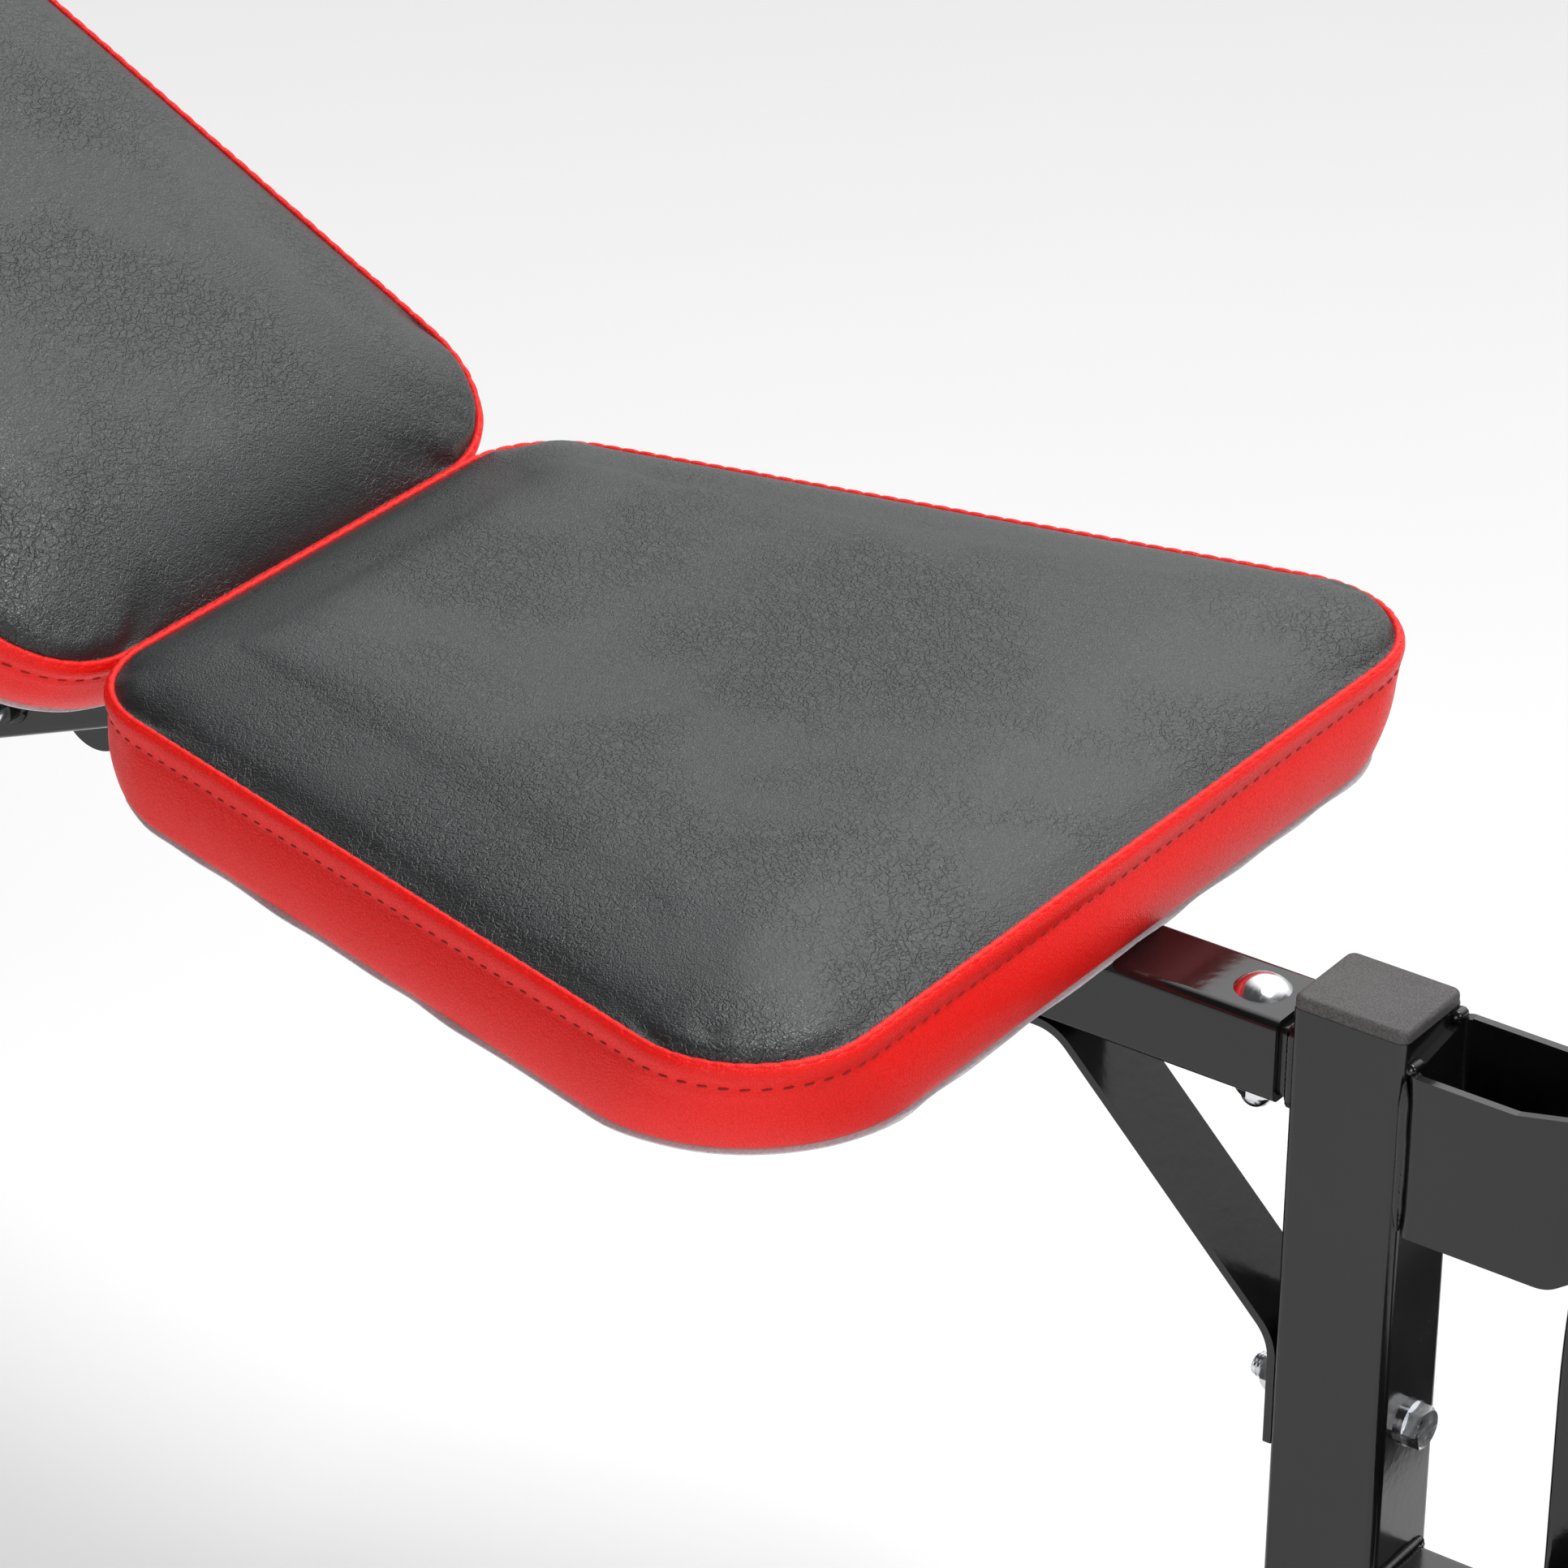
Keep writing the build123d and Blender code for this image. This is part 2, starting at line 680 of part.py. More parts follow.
def pad(plane, stations, side_height, screws, label, pockets=()):
    """Backing cloth, plywood board with tee nuts, and the foam cushion that wraps them.

    A pocket is a round hole in the cloth and the board over a bolt head.
    """
    board_plane = plane.offset(backing_thick)
    board_face = board_plane.offset(board_thick)
    seam_plane = plane.offset(side_height)
    crown_plane = seam_plane.offset(crown_rise)

    with BuildPart() as backing:
        with BuildSketch(plane):
            board_outline(stations)
            with Locations(*screws):
                Circle(m6_r + 2, mode=Mode.SUBTRACT)
            for pocket in pockets:
                with Locations(pocket):
                    Circle(pocket_r, mode=Mode.SUBTRACT)
        extrude(amount=backing_thick)
    save(backing, f"{label}_backing")

    with BuildPart() as board:
        with BuildSketch(board_plane):
            board_outline(stations)
            with Locations(*screws):
                Circle(tee_nut_r, mode=Mode.SUBTRACT)
            for pocket in pockets:
                with Locations(pocket):
                    Circle(pocket_r, mode=Mode.SUBTRACT)
        extrude(amount=board_thick)
    save(board, f"{label}_board")

    with BuildPart() as tee_nuts:
        for radius, height in ((tee_nut_r + 5, tee_nut_flange), (tee_nut_r, 3 - board_thick)):
            with BuildSketch(board_face):
                with Locations(*screws):
                    Circle(radius)
                    Circle(m6_r + 0.05, mode=Mode.SUBTRACT)
            extrude(amount=height)
    save(tee_nuts, f"{label}_tee_nuts")

    with BuildPart() as cushion:
        with BuildSketch(plane):
            pad_outline(stations)
        extrude(amount=side_height)
        with BuildSketch(seam_plane):
            pad_outline(stations)
        with BuildSketch(crown_plane):
            pad_outline(stations, crown_inset)
        loft()
        with BuildSketch(plane):
            board_outline(stations)
        extrude(amount=backing_thick + board_thick, mode=Mode.SUBTRACT)
        with BuildSketch(board_face):
            with Locations(*screws):
                Circle(tee_nut_r + 6)
        extrude(amount=tee_nut_flange + 4, mode=Mode.SUBTRACT)
    save(cushion, f"{label}_cushion")


seat_stations = [(0, seat_rear_half), (seat_length, seat_front_half)]
seat_plane = Plane((seat_rear, 0, beam_top), x_dir=(1, 0, 0), z_dir=(0, 0, 1))
seat_screws = [(x - seat_rear, side * seat_screw_half) for x in seat_bracket_xs for side in (-1, 1)]
brace_pocket = (rear_face - brace_bolt_back - seat_rear, 0)
pad(seat_plane, seat_stations, seat_side, seat_screws, "seat", pockets=[brace_pocket])

back_stations = [
    (0, back_low_half),
    (back_waist_run, back_waist_half),
    (back_length, back_high_half),
]
pad_plane = back_plane(back_start, back_board_h)
back_screws = [(run - back_start, side * back_screw_half) for run in plate_runs for side in (-1, 1)]
pad(pad_plane, back_stations, back_side, back_screws, "back")


# ======================= Fasteners =======================

def hex_prism(flats, height):
    """A hexagonal head or nut in the part that is open, rounded off at its outer corners."""
    with BuildSketch() as hexagon:
        RegularPolygon(flats / 2, 6, major_radius=False, rotation=30)
    extrude(hexagon.sketch, amount=height)
    with Locations((0, 0, height / 2)):
        Cone(flats * head_round + height * head_flare, flats * head_round, height, mode=Mode.INTERSECT)


def hex_bolt(radius, length, flats, head):
    """A hex bolt with the underside of its head at the origin and its shank along -Z."""
    with BuildPart() as bolt:
        hex_prism(flats, head)
        with Locations((0, 0, -length / 2)):
            Cylinder(radius, length)
        chamfer(bolt.faces().sort_by(Axis.Z)[0].edges(), radius / 6)
    return bolt.part


def hex_nut(radius, flats, height):
    """A hex nut standing on the origin."""
    with BuildPart() as nut:
        hex_prism(flats, height)
        with Locations((0, 0, height / 2)):
            Cylinder(radius, height, mode=Mode.SUBTRACT)
    return nut.part


def dome_nut(radius, flats, height, dome):
    """A nut with a round cap over the end of the bolt."""
    with BuildPart() as nut:
        hex_prism(flats, height)
        with BuildSketch(Plane.XZ):
            with BuildLine():
                cap_start = Line((0, height), (dome, height))
                TangentArc(cap_start @ 1, (0, height + dome), tangent=(0, 1))
                Line((0, height + dome), (0, height))
            make_face()
        revolve(axis=Axis.Z)
        with Locations((0, 0, (height + dome / 2) / 2)):
            Cylinder(radius, height + dome / 2, mode=Mode.SUBTRACT)
    return nut.part


def washer(radius, outer, thickness=washer_thick):
    """A flat washer standing on the origin."""
    with BuildPart() as ring:
        with BuildSketch():
            Circle(outer)
            Circle(radius + bolt_clear, mode=Mode.SUBTRACT)
        extrude(amount=thickness)
    return ring.part


def carriage_bolt(radius, length, head_r, head_height):
    """A low domed head above the origin, with the shank along -Z."""
    sphere_r = (head_r**2 + head_height**2) / (2 * head_height)
    with BuildPart() as bolt:
        with BuildSketch(Plane.XZ):
            with BuildLine():
                Line((0, head_height), (0, 0))
                Line((0, 0), (head_r, 0))
                RadiusArc((head_r, 0), (0, head_height), -sphere_r)
            make_face()
        revolve(axis=Axis.Z)
        with Locations((0, 0, -length / 2)):
            Cylinder(radius, length)
    return bolt.part


def place(master, planes, label):
    """Put one copy of a fastener on each plane and save them as one group."""
    with BuildPart() as group:
        with Locations(*planes):
            add(master)
    save(group, label)


up = (0, 0, 1)
down = (0, 0, -1)
forward = (1, 0, 0)
rearward = (-1, 0, 0)
m8_nut = 6.5
m8_head = 5.5
m8_washer_r = 8.0
bolt_proud = 5.0
beam_bolt_xs = (rear_face - joint_bolt_back, rear_face - brace_bolt_back)

# Carriage bolts down through the beam: one into the stub, one into the brace
carriage_length = beam_height + brace_thick + washer_thick + m8_nut - 2
place(
    carriage_bolt(m8_r, carriage_length, carriage_head_r, carriage_head_height),
    [Plane((x, 0, beam_top), z_dir=up) for x in beam_bolt_xs],
    "carriage_bolts",
)
joint_nut_plane = Plane((beam_bolt_xs[0], 0, beam_bottom), z_dir=down)
brace_nut_plane = Plane((beam_bolt_xs[1], 0, beam_bottom - brace_thick), z_dir=down)
place(washer(m8_r, m8_washer_r), [joint_nut_plane, brace_nut_plane], "beam_washers")
place(
    dome_nut(m8_r, m8_flats, m8_nut, m8_flats * dome_part),
    [joint_nut_plane.offset(washer_thick), brace_nut_plane.offset(washer_thick)],
    "dome_nuts",
)

# Hex bolt through the post and the lower end of the brace
brace_head_plane = Plane((front_face + washer_thick, 0, brace_bolt_z), z_dir=forward)
brace_grip = post_depth + brace_thick + 2 * washer_thick
place(
    hex_bolt(m8_r, brace_grip + m8_nut + bolt_proud, m8_flats, m8_head),
    [brace_head_plane],
    "brace_bolt",
)
brace_end_plane = Plane((rear_face - brace_thick, 0, brace_bolt_z), z_dir=rearward)
place(
    washer(m8_r, m8_washer_r),
    [Plane((front_face, 0, brace_bolt_z), z_dir=forward), brace_end_plane],
    "brace_washers",
)
place(hex_nut(m8_r, m8_flats, m8_nut), [brace_end_plane.offset(washer_thick)], "brace_nut")


def cross_bolt(x, z, half_grip, radius, flats, label):
    """A bolt across the bench with a washer and a lock nut on its far end."""
    head = radius * 1.3
    nut = radius * 1.8
    grip = 2 * (half_grip + washer_thick)
    near = across(x, z, -half_grip - washer_thick)
    near_out = Plane(near.origin, z_dir=(0, -1, 0))
    far_out = across(x, z, half_grip)
    near_washer = Plane((x, -half_grip, z), z_dir=(0, -1, 0))
    place(hex_bolt(radius, grip + nut + 2, flats, head), [near_out], f"{label}_bolt")
    place(washer(radius, 2 * radius), [near_washer, far_out], f"{label}_washers")
    place(hex_nut(radius, flats, nut), [far_out.offset(washer_thick)], f"{label}_nut")


cross_bolt(pivot_x, pivot_z, post_width / 2, m10_r, m10_flats, "arm_pivot")
cross_bolt(hinge_x, hinge_z, hinge_end + side_clear, m10_r, m10_flats, "hinge")

# Hex screws that hold the pads, heads under the steel
screw_length = plate + backing_thick + board_thick - 1
screw_master = hex_bolt(m6_r, screw_length, m6_flats, 4.0)
place(
    screw_master,
    [
        Plane((x, side * seat_screw_half, beam_top - plate), z_dir=down)
        for x in seat_bracket_xs
        for side in (-1, 1)
    ],
    "seat_screws",
)
place(
    screw_master,
    [
        Plane(back_point(run, rail_height / 2, side * back_screw_half), z_dir=-out)
        for run in plate_runs
        for side in (-1, 1)
    ],
    "back_screws",
)
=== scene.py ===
import json
from math import atan2, cos, pi, radians, sin

import bpy
from mathutils import Matrix, Vector, noise


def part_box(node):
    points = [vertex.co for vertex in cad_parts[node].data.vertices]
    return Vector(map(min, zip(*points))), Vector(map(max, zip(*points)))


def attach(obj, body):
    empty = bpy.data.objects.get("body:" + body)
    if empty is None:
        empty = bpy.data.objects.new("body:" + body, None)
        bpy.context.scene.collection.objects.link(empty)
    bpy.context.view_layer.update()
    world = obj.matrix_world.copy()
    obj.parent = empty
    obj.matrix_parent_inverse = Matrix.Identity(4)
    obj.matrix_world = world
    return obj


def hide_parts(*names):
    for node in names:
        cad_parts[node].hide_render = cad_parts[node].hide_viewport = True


# Looks of the adjustable sit-up bench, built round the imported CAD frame.
# Metres throughout, +X towards the foot end, +Z up.

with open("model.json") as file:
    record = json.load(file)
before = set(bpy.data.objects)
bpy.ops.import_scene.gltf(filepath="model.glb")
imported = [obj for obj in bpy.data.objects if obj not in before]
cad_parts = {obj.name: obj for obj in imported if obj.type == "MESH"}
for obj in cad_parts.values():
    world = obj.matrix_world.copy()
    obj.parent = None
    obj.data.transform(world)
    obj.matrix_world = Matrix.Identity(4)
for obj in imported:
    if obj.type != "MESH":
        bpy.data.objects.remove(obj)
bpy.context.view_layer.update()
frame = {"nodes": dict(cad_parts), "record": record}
MM = 0.001

# ---- Driving sizes of the soft parts, the same as the CAD ones ----
SEAT_LENGTH = 345 * MM
SEAT_REAR_HALF = 122 * MM
SEAT_FRONT_HALF = 208 * MM
SEAT_SIDE = 38 * MM
BACK_ANGLE = radians(33)
BACK_START = 8 * MM
BACK_BOARD_H = 16 * MM
BACK_LENGTH = 596 * MM
BACK_LOW_HALF = 139 * MM
BACK_WAIST_RUN = 385 * MM
BACK_WAIST_HALF = 84 * MM
BACK_HIGH_HALF = 80 * MM
BACK_SIDE = 36 * MM
CORNER_R = 45 * MM
WAIST_R = 320 * MM

# ---- Sizes of the frame that its boxes do not give, the same as the CAD ones ----
REAR_SLOPE = 46.31
CHEEK_DROP = 10 * MM
FAR_CHEEK_RISE = 6.5 * MM
RAIL_INNER = 24 * MM
RAIL_WIDTH = 20 * MM
RAIL_HALF_HEIGHT = 13 * MM
PLATE_RUNS = (110 * MM, 350 * MM)
PLATE_HALF = 20 * MM
PLATE_WELD_IN = 3 * MM
SECTOR_WELD_HALF = 15 * MM
BAR_WELD_OUT = 5.3 * MM
LOCK_WELD_R = 7.4 * MM
HINGE_WELD_R = 8.2 * MM

# ---- How the pads are made ----
CROWN_RISE = 12.0 * MM
CROWN_WIDTH = 42 * MM
CROWN_POWER = 3.0
SEAM_IN = 2.5 * MM
TOP_LIFT = 1.4 * MM
ROWS_IN = 44 * MM
UNDER_ROUND = 18 * MM
CLOTH_CAP = 3.2 * MM
CLOTH_PRESSURE = 4.0
CLOTH_FRAMES = 20
STITCH_DROP = 9.0 * MM
STITCH_PITCH = 6.6 * MM
STITCH_LENGTH = 4.6 * MM
STITCH_R = 0.5 * MM
PUCKER_PITCH = 15.0 * MM
PUCKER_LIFT = 0.12 * MM
PUCKER_FADE = 11 * MM
CORNER_LIFT = 0.14 * MM
CORNER_FADE = 24 * MM
CORNER_REACH = 58 * MM
SETTLE = 1.1 * MM
ROLL_R = 1.5 * MM
ROLL_OUT = 1.0 * MM
ROLL_LIFT = -0.25 * MM
CALM_DEPTH = 11 * MM
CALM_ROUNDS = 24
BLACK_PANEL = 0
RED_BAND = 1


# ======================= Materials =======================

def socket(shader, name, value):
    """Set one of the shader's own inputs."""
    shader.inputs[name].default_value = value


class Paint:
    """A node material being built: short calls for the nodes that the finishes share."""

    def __init__(self, name, roughness=0.4, metallic=0.0, specular=0.5):
        self.material = bpy.data.materials.new(name)
        self.material.use_nodes = True
        self.tree = self.material.node_tree
        self.shader = self.tree.nodes["Principled BSDF"]
        self.place = self.node("ShaderNodeTexCoord").outputs["Object"]
        socket(self.shader, "Roughness", roughness)
        socket(self.shader, "Metallic", metallic)
        socket(self.shader, "Specular IOR Level", specular)

    def node(self, kind, **settings):
        made = self.tree.nodes.new(kind)
        for key, value in settings.items():
            setattr(made, key, value)
        return made

    def link(self, source, target):
        self.tree.links.new(source, target)

    def stretched(self, x, y, z):
        """The object's own coordinates, scaled on each axis."""
        mapping = self.node("ShaderNodeMapping")
        mapping.inputs["Scale"].default_value = (x, y, z)
        self.link(self.place, mapping.inputs["Vector"])
        return mapping.outputs["Vector"]

    def noise(self, scale, detail=3.0, rough=0.5, vector=None, distortion=0.0):
        made = self.node("ShaderNodeTexNoise")
        made.inputs["Scale"].default_value = scale
        made.inputs["Detail"].default_value = detail
        made.inputs["Roughness"].default_value = rough
        made.inputs["Distortion"].default_value = distortion
        self.link(vector or self.place, made.inputs["Vector"])
        return made.outputs["Fac"]

    def cells(self, scale, vector=None, feature="DISTANCE_TO_EDGE"):
        made = self.node("ShaderNodeTexVoronoi", feature=feature)
        made.inputs["Scale"].default_value = scale
        self.link(vector or self.place, made.inputs["Vector"])
        return made.outputs["Distance"]

    def warped(self, scale, amount):
        """The object's own coordinates, pushed about by noise."""
        made = self.node("ShaderNodeTexNoise")
        made.inputs["Scale"].default_value = scale
        self.link(self.place, made.inputs["Vector"])
        scaled = self.node("ShaderNodeVectorMath", operation="SCALE")
        scaled.inputs["Scale"].default_value = amount
        self.link(made.outputs["Color"], scaled.inputs[0])
        total = self.node("ShaderNodeVectorMath", operation="ADD")
        self.link(self.place, total.inputs[0])
        self.link(scaled.outputs["Vector"], total.inputs[1])
        return total.outputs["Vector"]

    def ramp(self, value, low, high, start=0.0, end=1.0):
        """value from start to end, as low to high."""
        made = self.node("ShaderNodeMapRange")
        for key, number in (("From Min", start), ("From Max", end), ("To Min", low), ("To Max", high)):
            made.inputs[key].default_value = number
        self.link(value, made.inputs["Value"])
        return made.outputs["Result"]

    def math(self, operation, a, b):
        made = self.node("ShaderNodeMath", operation=operation)
        for place, item in enumerate((a, b)):
            if isinstance(item, (int, float)):
                made.inputs[place].default_value = item
            else:
                self.link(item, made.inputs[place])
        return made.outputs["Value"]

    def mix(self, factor, a, b):
        """Colour a at factor 0, colour b at 1."""
        made = self.node("ShaderNodeMix", data_type="RGBA")
        self.link(factor, made.inputs["Factor"])
        for key, item in (("A", a), ("B", b)):
            target = next(s for s in made.inputs if s.name == key and s.type == "RGBA")
            if isinstance(item, tuple):
                target.default_value = (*item, 1.0)
            else:
                self.link(item, target)
        return next(s for s in made.outputs if s.type == "RGBA")

    def colour(self, value):
        self.link(value, self.shader.inputs["Base Color"])

    def rough(self, value):
        self.link(value, self.shader.inputs["Roughness"])

    def bump(self, height, depth, strength=1.0):
        """Raise the surface by height times depth metres, on top of any bump already there."""
        made = self.node("ShaderNodeBump")
        made.inputs["Strength"].default_value = strength
        made.inputs["Distance"].default_value = depth
        self.link(height, made.inputs["Height"])
        earlier = self.shader.inputs["Normal"]
        if earlier.is_linked:
            self.link(earlier.links[0].from_socket, made.inputs["Normal"])
        self.link(made.outputs["Normal"], earlier)


def frame_paint():
    """Gloss black powder coat: faint orange peel, dust specks, paler rubbed edges."""
    p = Paint("frame_paint", roughness=0.14, specular=0.52)
    patches = p.noise(14, 4)
    edge = p.node("ShaderNodeNewGeometry").outputs["Pointiness"]
    worn = p.ramp(edge, 0.0, 0.1, 0.56, 0.72)
    base = p.mix(p.ramp(patches, 0.0, 1.0, 0.35, 0.7), (0.003, 0.003, 0.0035), (0.006, 0.006, 0.0065))
    p.colour(p.mix(worn, base, (0.05, 0.05, 0.053)))
    specks = p.ramp(p.cells(210, feature="F1"), 0.16, 0.0, 0.0, 0.09)
    p.rough(p.math("ADD", p.ramp(patches, 0.09, 0.19, 0.3, 0.7), specks))
    p.bump(p.noise(330, 2), 0.00005, 0.7)
    p.bump(p.noise(60, 1), 0.0003, 0.25)
    return p.material


def zinc():
    """Bright zinc plate: fine scratches, cloudy reflections, duller cloudy patches."""
    p = Paint("zinc_plate", roughness=0.2, metallic=1.0)
    cloud = p.noise(160, 4)
    p.colour(p.mix(p.ramp(cloud, 0.0, 1.0, 0.3, 0.7), (0.62, 0.64, 0.67), (0.82, 0.83, 0.84)))
    scratch = p.noise(900, 2, vector=p.stretched(1.0, 0.16, 1.0))
    p.rough(p.math("ADD", p.ramp(cloud, 0.12, 0.26, 0.3, 0.7), p.ramp(scratch, 0.0, 0.12, 0.5, 0.8)))
    p.bump(scratch, 0.00003, 0.5)
    return p.material


def moulded_plastic(name, dark, pale, roughness, grain=1600):
    """Matt moulded plastic with a fine spark-eroded texture and scuffs."""
    p = Paint(name, roughness=roughness, specular=0.45)
    fine = p.noise(grain, 3)
    scuff = p.noise(70, 5, 0.65)
    base = p.mix(p.ramp(fine, 0.0, 1.0, 0.35, 0.7), dark, pale)
    p.colour(p.mix(p.ramp(scuff, 0.0, 0.3, 0.6, 0.8), base, tuple(1.7 * c for c in pale)))
    p.rough(p.ramp(scuff, roughness - 0.06, roughness + 0.1, 0.3, 0.7))
    p.bump(fine, 0.00018, 0.7)
    p.bump(p.cells(grain * 0.6), 0.00008, 0.5)
    return p.material


def rubber():
    """Matt black rubber with a bloom."""
    p = Paint("buffer_rubber", roughness=0.8, specular=0.3)
    bloom = p.noise(90, 5)
    p.colour(p.mix(p.ramp(bloom, 0.0, 1.0, 0.35, 0.7), (0.02, 0.02, 0.02), (0.05, 0.05, 0.05)))
    p.rough(p.ramp(bloom, 0.7, 0.92, 0.3, 0.7))
    p.bump(p.noise(1400, 2), 0.0001, 0.5)
    return p.material


def foam():
    """Closed-cell foam: skin with fine pores, painted shade darkening the grooves round them, a little
    grey where it is rubbed.
    """
    p = Paint("roller_foam", roughness=0.85, specular=0.25)
    pores = p.cells(760)
    wide = p.noise(24, 5)
    # painted shade: the skin is darker along the cell edges, where the pore bump sinks it
    base = p.mix(p.ramp(pores, 0.0, 1.0, 0.0, 0.25), (0.012, 0.012, 0.013), (0.04, 0.04, 0.042))
    p.colour(p.mix(p.ramp(wide, 0.0, 0.35, 0.5, 0.75), base, (0.085, 0.085, 0.09)))
    p.rough(p.ramp(wide, 0.75, 0.95, 0.3, 0.7))
    p.bump(pores, 0.0005, 0.7)
    p.bump(p.noise(130, 3), 0.0009, 0.35)
    return p.material


def vinyl(name, groove_shade, mid, pale, roughness, relief, specular=0.5):
    """Grained upholstery vinyl: pebbles, short creases between them, soft blotches, and painted shade
    that darkens the grooves between the pebbles.
    """
    p = Paint(name, roughness=roughness, specular=specular)
    pebbles = p.cells(900, vector=p.warped(320, 0.0022))
    creases = p.cells(300, vector=p.warped(150, 0.011))
    wrinkles = p.noise(520, 2, 0.45, vector=p.warped(60, 0.016), distortion=1.6)
    blotch = p.noise(26, 4)
    patch = p.ramp(p.noise(17, 2), 0.25, 1.0, 0.42, 0.62)
    base = p.mix(p.ramp(blotch, 0.0, 1.0, 0.3, 0.7), mid, pale)
    # painted shade: the grooves between the pebbles, where the bump sinks the surface, are mixed towards
    # the darker groove colour
    p.colour(p.mix(p.ramp(pebbles, 0.75, 0.0, 0.0, 0.16), base, groove_shade))
    shine = p.ramp(pebbles, roughness + 0.16, roughness, 0.0, 0.2)
    p.rough(p.math("ADD", shine, p.ramp(blotch, -0.02, 0.03, 0.3, 0.7)))
    p.bump(p.ramp(pebbles, 0.0, 1.0, 0.0, 0.28), 0.00012, 0.6)
    p.bump(p.math("MULTIPLY", p.ramp(creases, 0.0, 1.0, 0.0, 0.1), patch), 0.00028, relief)
    p.bump(p.math("MULTIPLY", wrinkles, patch), 0.00042, relief)
    p.bump(p.noise(70, 3), 0.0006, 0.3)
    return p.material


def thread(name, tone):
    """Twisted sewing thread."""
    p = Paint(name, roughness=0.6, specular=0.3)
    strands = p.noise(2600, 2, vector=p.stretched(1.0, 1.0, 2.2))
    p.colour(p.mix(strands, tuple(0.45 * c for c in tone), tone))
    p.rough(p.ramp(strands, 0.5, 0.75))
    p.bump(strands, 0.0002, 0.8)
    return p.material


def lining():
    """Pale non-woven lining: pressed fibres and a fine dot pattern."""
    p = Paint("backing_cloth", roughness=0.95, specular=0.2)
    fibres = p.noise(1200, 4, 0.7, vector=p.stretched(1.0, 0.35, 1.0))
    dots = p.cells(480, feature="F1")
    base = p.mix(p.ramp(fibres, 0.0, 1.0, 0.3, 0.7), (0.52, 0.52, 0.55), (0.74, 0.74, 0.77))
    p.colour(p.mix(p.ramp(dots, 0.45, 0.0, 0.0, 0.35), base, (0.36, 0.36, 0.39)))
    p.rough(p.ramp(fibres, 0.85, 1.0))
    p.bump(fibres, 0.0002, 0.6)
    p.bump(dots, 0.0002, 0.5)
    return p.material


def plywood():
    """Plywood: long grain on the faces, plies on the edges."""
    p = Paint("plywood", roughness=0.7, specular=0.3)
    grain = p.noise(160, 6, 0.7, vector=p.stretched(0.12, 1.0, 1.0), distortion=0.6)
    plies = p.noise(300, 1, vector=p.stretched(0.02, 0.02, 1.6))
    base = p.mix(p.ramp(grain, 0.0, 1.0, 0.3, 0.7), (0.36, 0.23, 0.12), (0.62, 0.45, 0.27))
    p.colour(p.mix(p.ramp(plies, 0.0, 0.4, 0.45, 0.6), base, (0.25, 0.15, 0.08)))
    p.rough(p.ramp(grain, 0.6, 0.82))
    p.bump(grain, 0.0003, 0.5)
    return p.material


def floor_finish():
    """Plain pale studio floor."""
    p = Paint("studio_floor", roughness=0.7, specular=0.2)
    cloud = p.noise(3, 2)
    p.colour(p.mix(cloud, (0.90, 0.90, 0.90), (0.93, 0.93, 0.93)))
    p.rough(p.ramp(cloud, 0.65, 0.75))
    p.bump(p.noise(40, 2), 0.0002, 0.1)
    return p.material


# darkest black: painted shade for the grooves of the black vinyl's grain
GROOVE_SHADE_BLACK = (0.008, 0.009, 0.0095)
BLACK = (0.014, 0.0155, 0.0165)
PALEST_BLACK = (0.02, 0.022, 0.0235)
RED = (0.9, 0.008, 0.005)
FINISHES = {
    "frame_paint": frame_paint(),
    "zinc": zinc(),
    "black_plastic": moulded_plastic("black_plastic", (0.045, 0.043, 0.043), (0.105, 0.1, 0.1), 0.6),
    "nylon": moulded_plastic("black_nylon", (0.02, 0.02, 0.02), (0.04, 0.04, 0.04), 0.5, 900),
    "buffer_rubber": rubber(),
    "roller_foam": foam(),
    "plywood": plywood(),
    "backing_cloth": lining(),
    "pad_vinyl": vinyl("vinyl_black", GROOVE_SHADE_BLACK, BLACK, PALEST_BLACK, 0.31, 0.7, 0.6),
}
# the first colour given here is painted shade for the grooves of the red vinyl's grain
RED_VINYL = vinyl("vinyl_red", (0.7, 0.006, 0.004), RED, (0.88, 0.012, 0.007), 0.34, 0.3, 0.26)
RED_THREAD = thread("thread_red", (0.45, 0.012, 0.008))


def carry_over():
    """Give every CAD node the finish of its slot."""
    for entry in frame["record"]["subparts"]:
        node = frame["nodes"][entry["node"]]
        node.data.materials.clear()
        node.data.materials.append(FINISHES[entry["material_slot"]])


# ======================= Mesh helpers =======================

def new_piece(name, mesh, materials, body, smooth=True):
    """Put a finished mesh in the scene as a piece of the object, riding on a CAD body."""
    piece = bpy.data.objects.new(name, mesh)
    bpy.context.scene.collection.objects.link(piece)
    for material in materials:
        mesh.materials.append(material)
    for face in mesh.polygons:
        face.use_smooth = smooth
    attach(piece, body)
    return piece


def mesh_of(name, points, faces):
    mesh = bpy.data.meshes.new(name)
    mesh.from_pydata([tuple(p) for p in points], [], faces)
    mesh.update()
    return mesh


def loop_faces(first, second, count, closed=True):
    """Quads between two rows of points that start at these numbers."""
    last = count if closed else count - 1
    return [
        (first + i, first + (i + 1) % count, second + (i + 1) % count, second + i)
        for i in range(last)
    ]


def resample(points, count, closed=False):
    """count points at equal spacing along a polyline."""
    line = list(points) + ([points[0]] if closed else [])
    reach = [0.0]
    for a, b in zip(line, line[1:]):
        reach.append(reach[-1] + (b - a).length)
    steps = count if closed else count - 1
    found = []
    k = 0
    for i in range(count):
        target = reach[-1] * i / steps
        while k < len(line) - 2 and reach[k + 1] < target:
            k += 1
        share = (target - reach[k]) / max(reach[k + 1] - reach[k], 1e-12)
        found.append(line[k].lerp(line[k + 1], min(max(share, 0.0), 1.0)))
    return found


def line_length(points):
    return sum((b - a).length for a, b in zip(points, points[1:]))


def box_of(node):
    """Low and high corner of a CAD node at rest."""
    return tuple(Vector(corner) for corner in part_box(node))


def centre_of(node):
    low, high = box_of(node)
    return (low + high) / 2


# ======================= Pads =======================

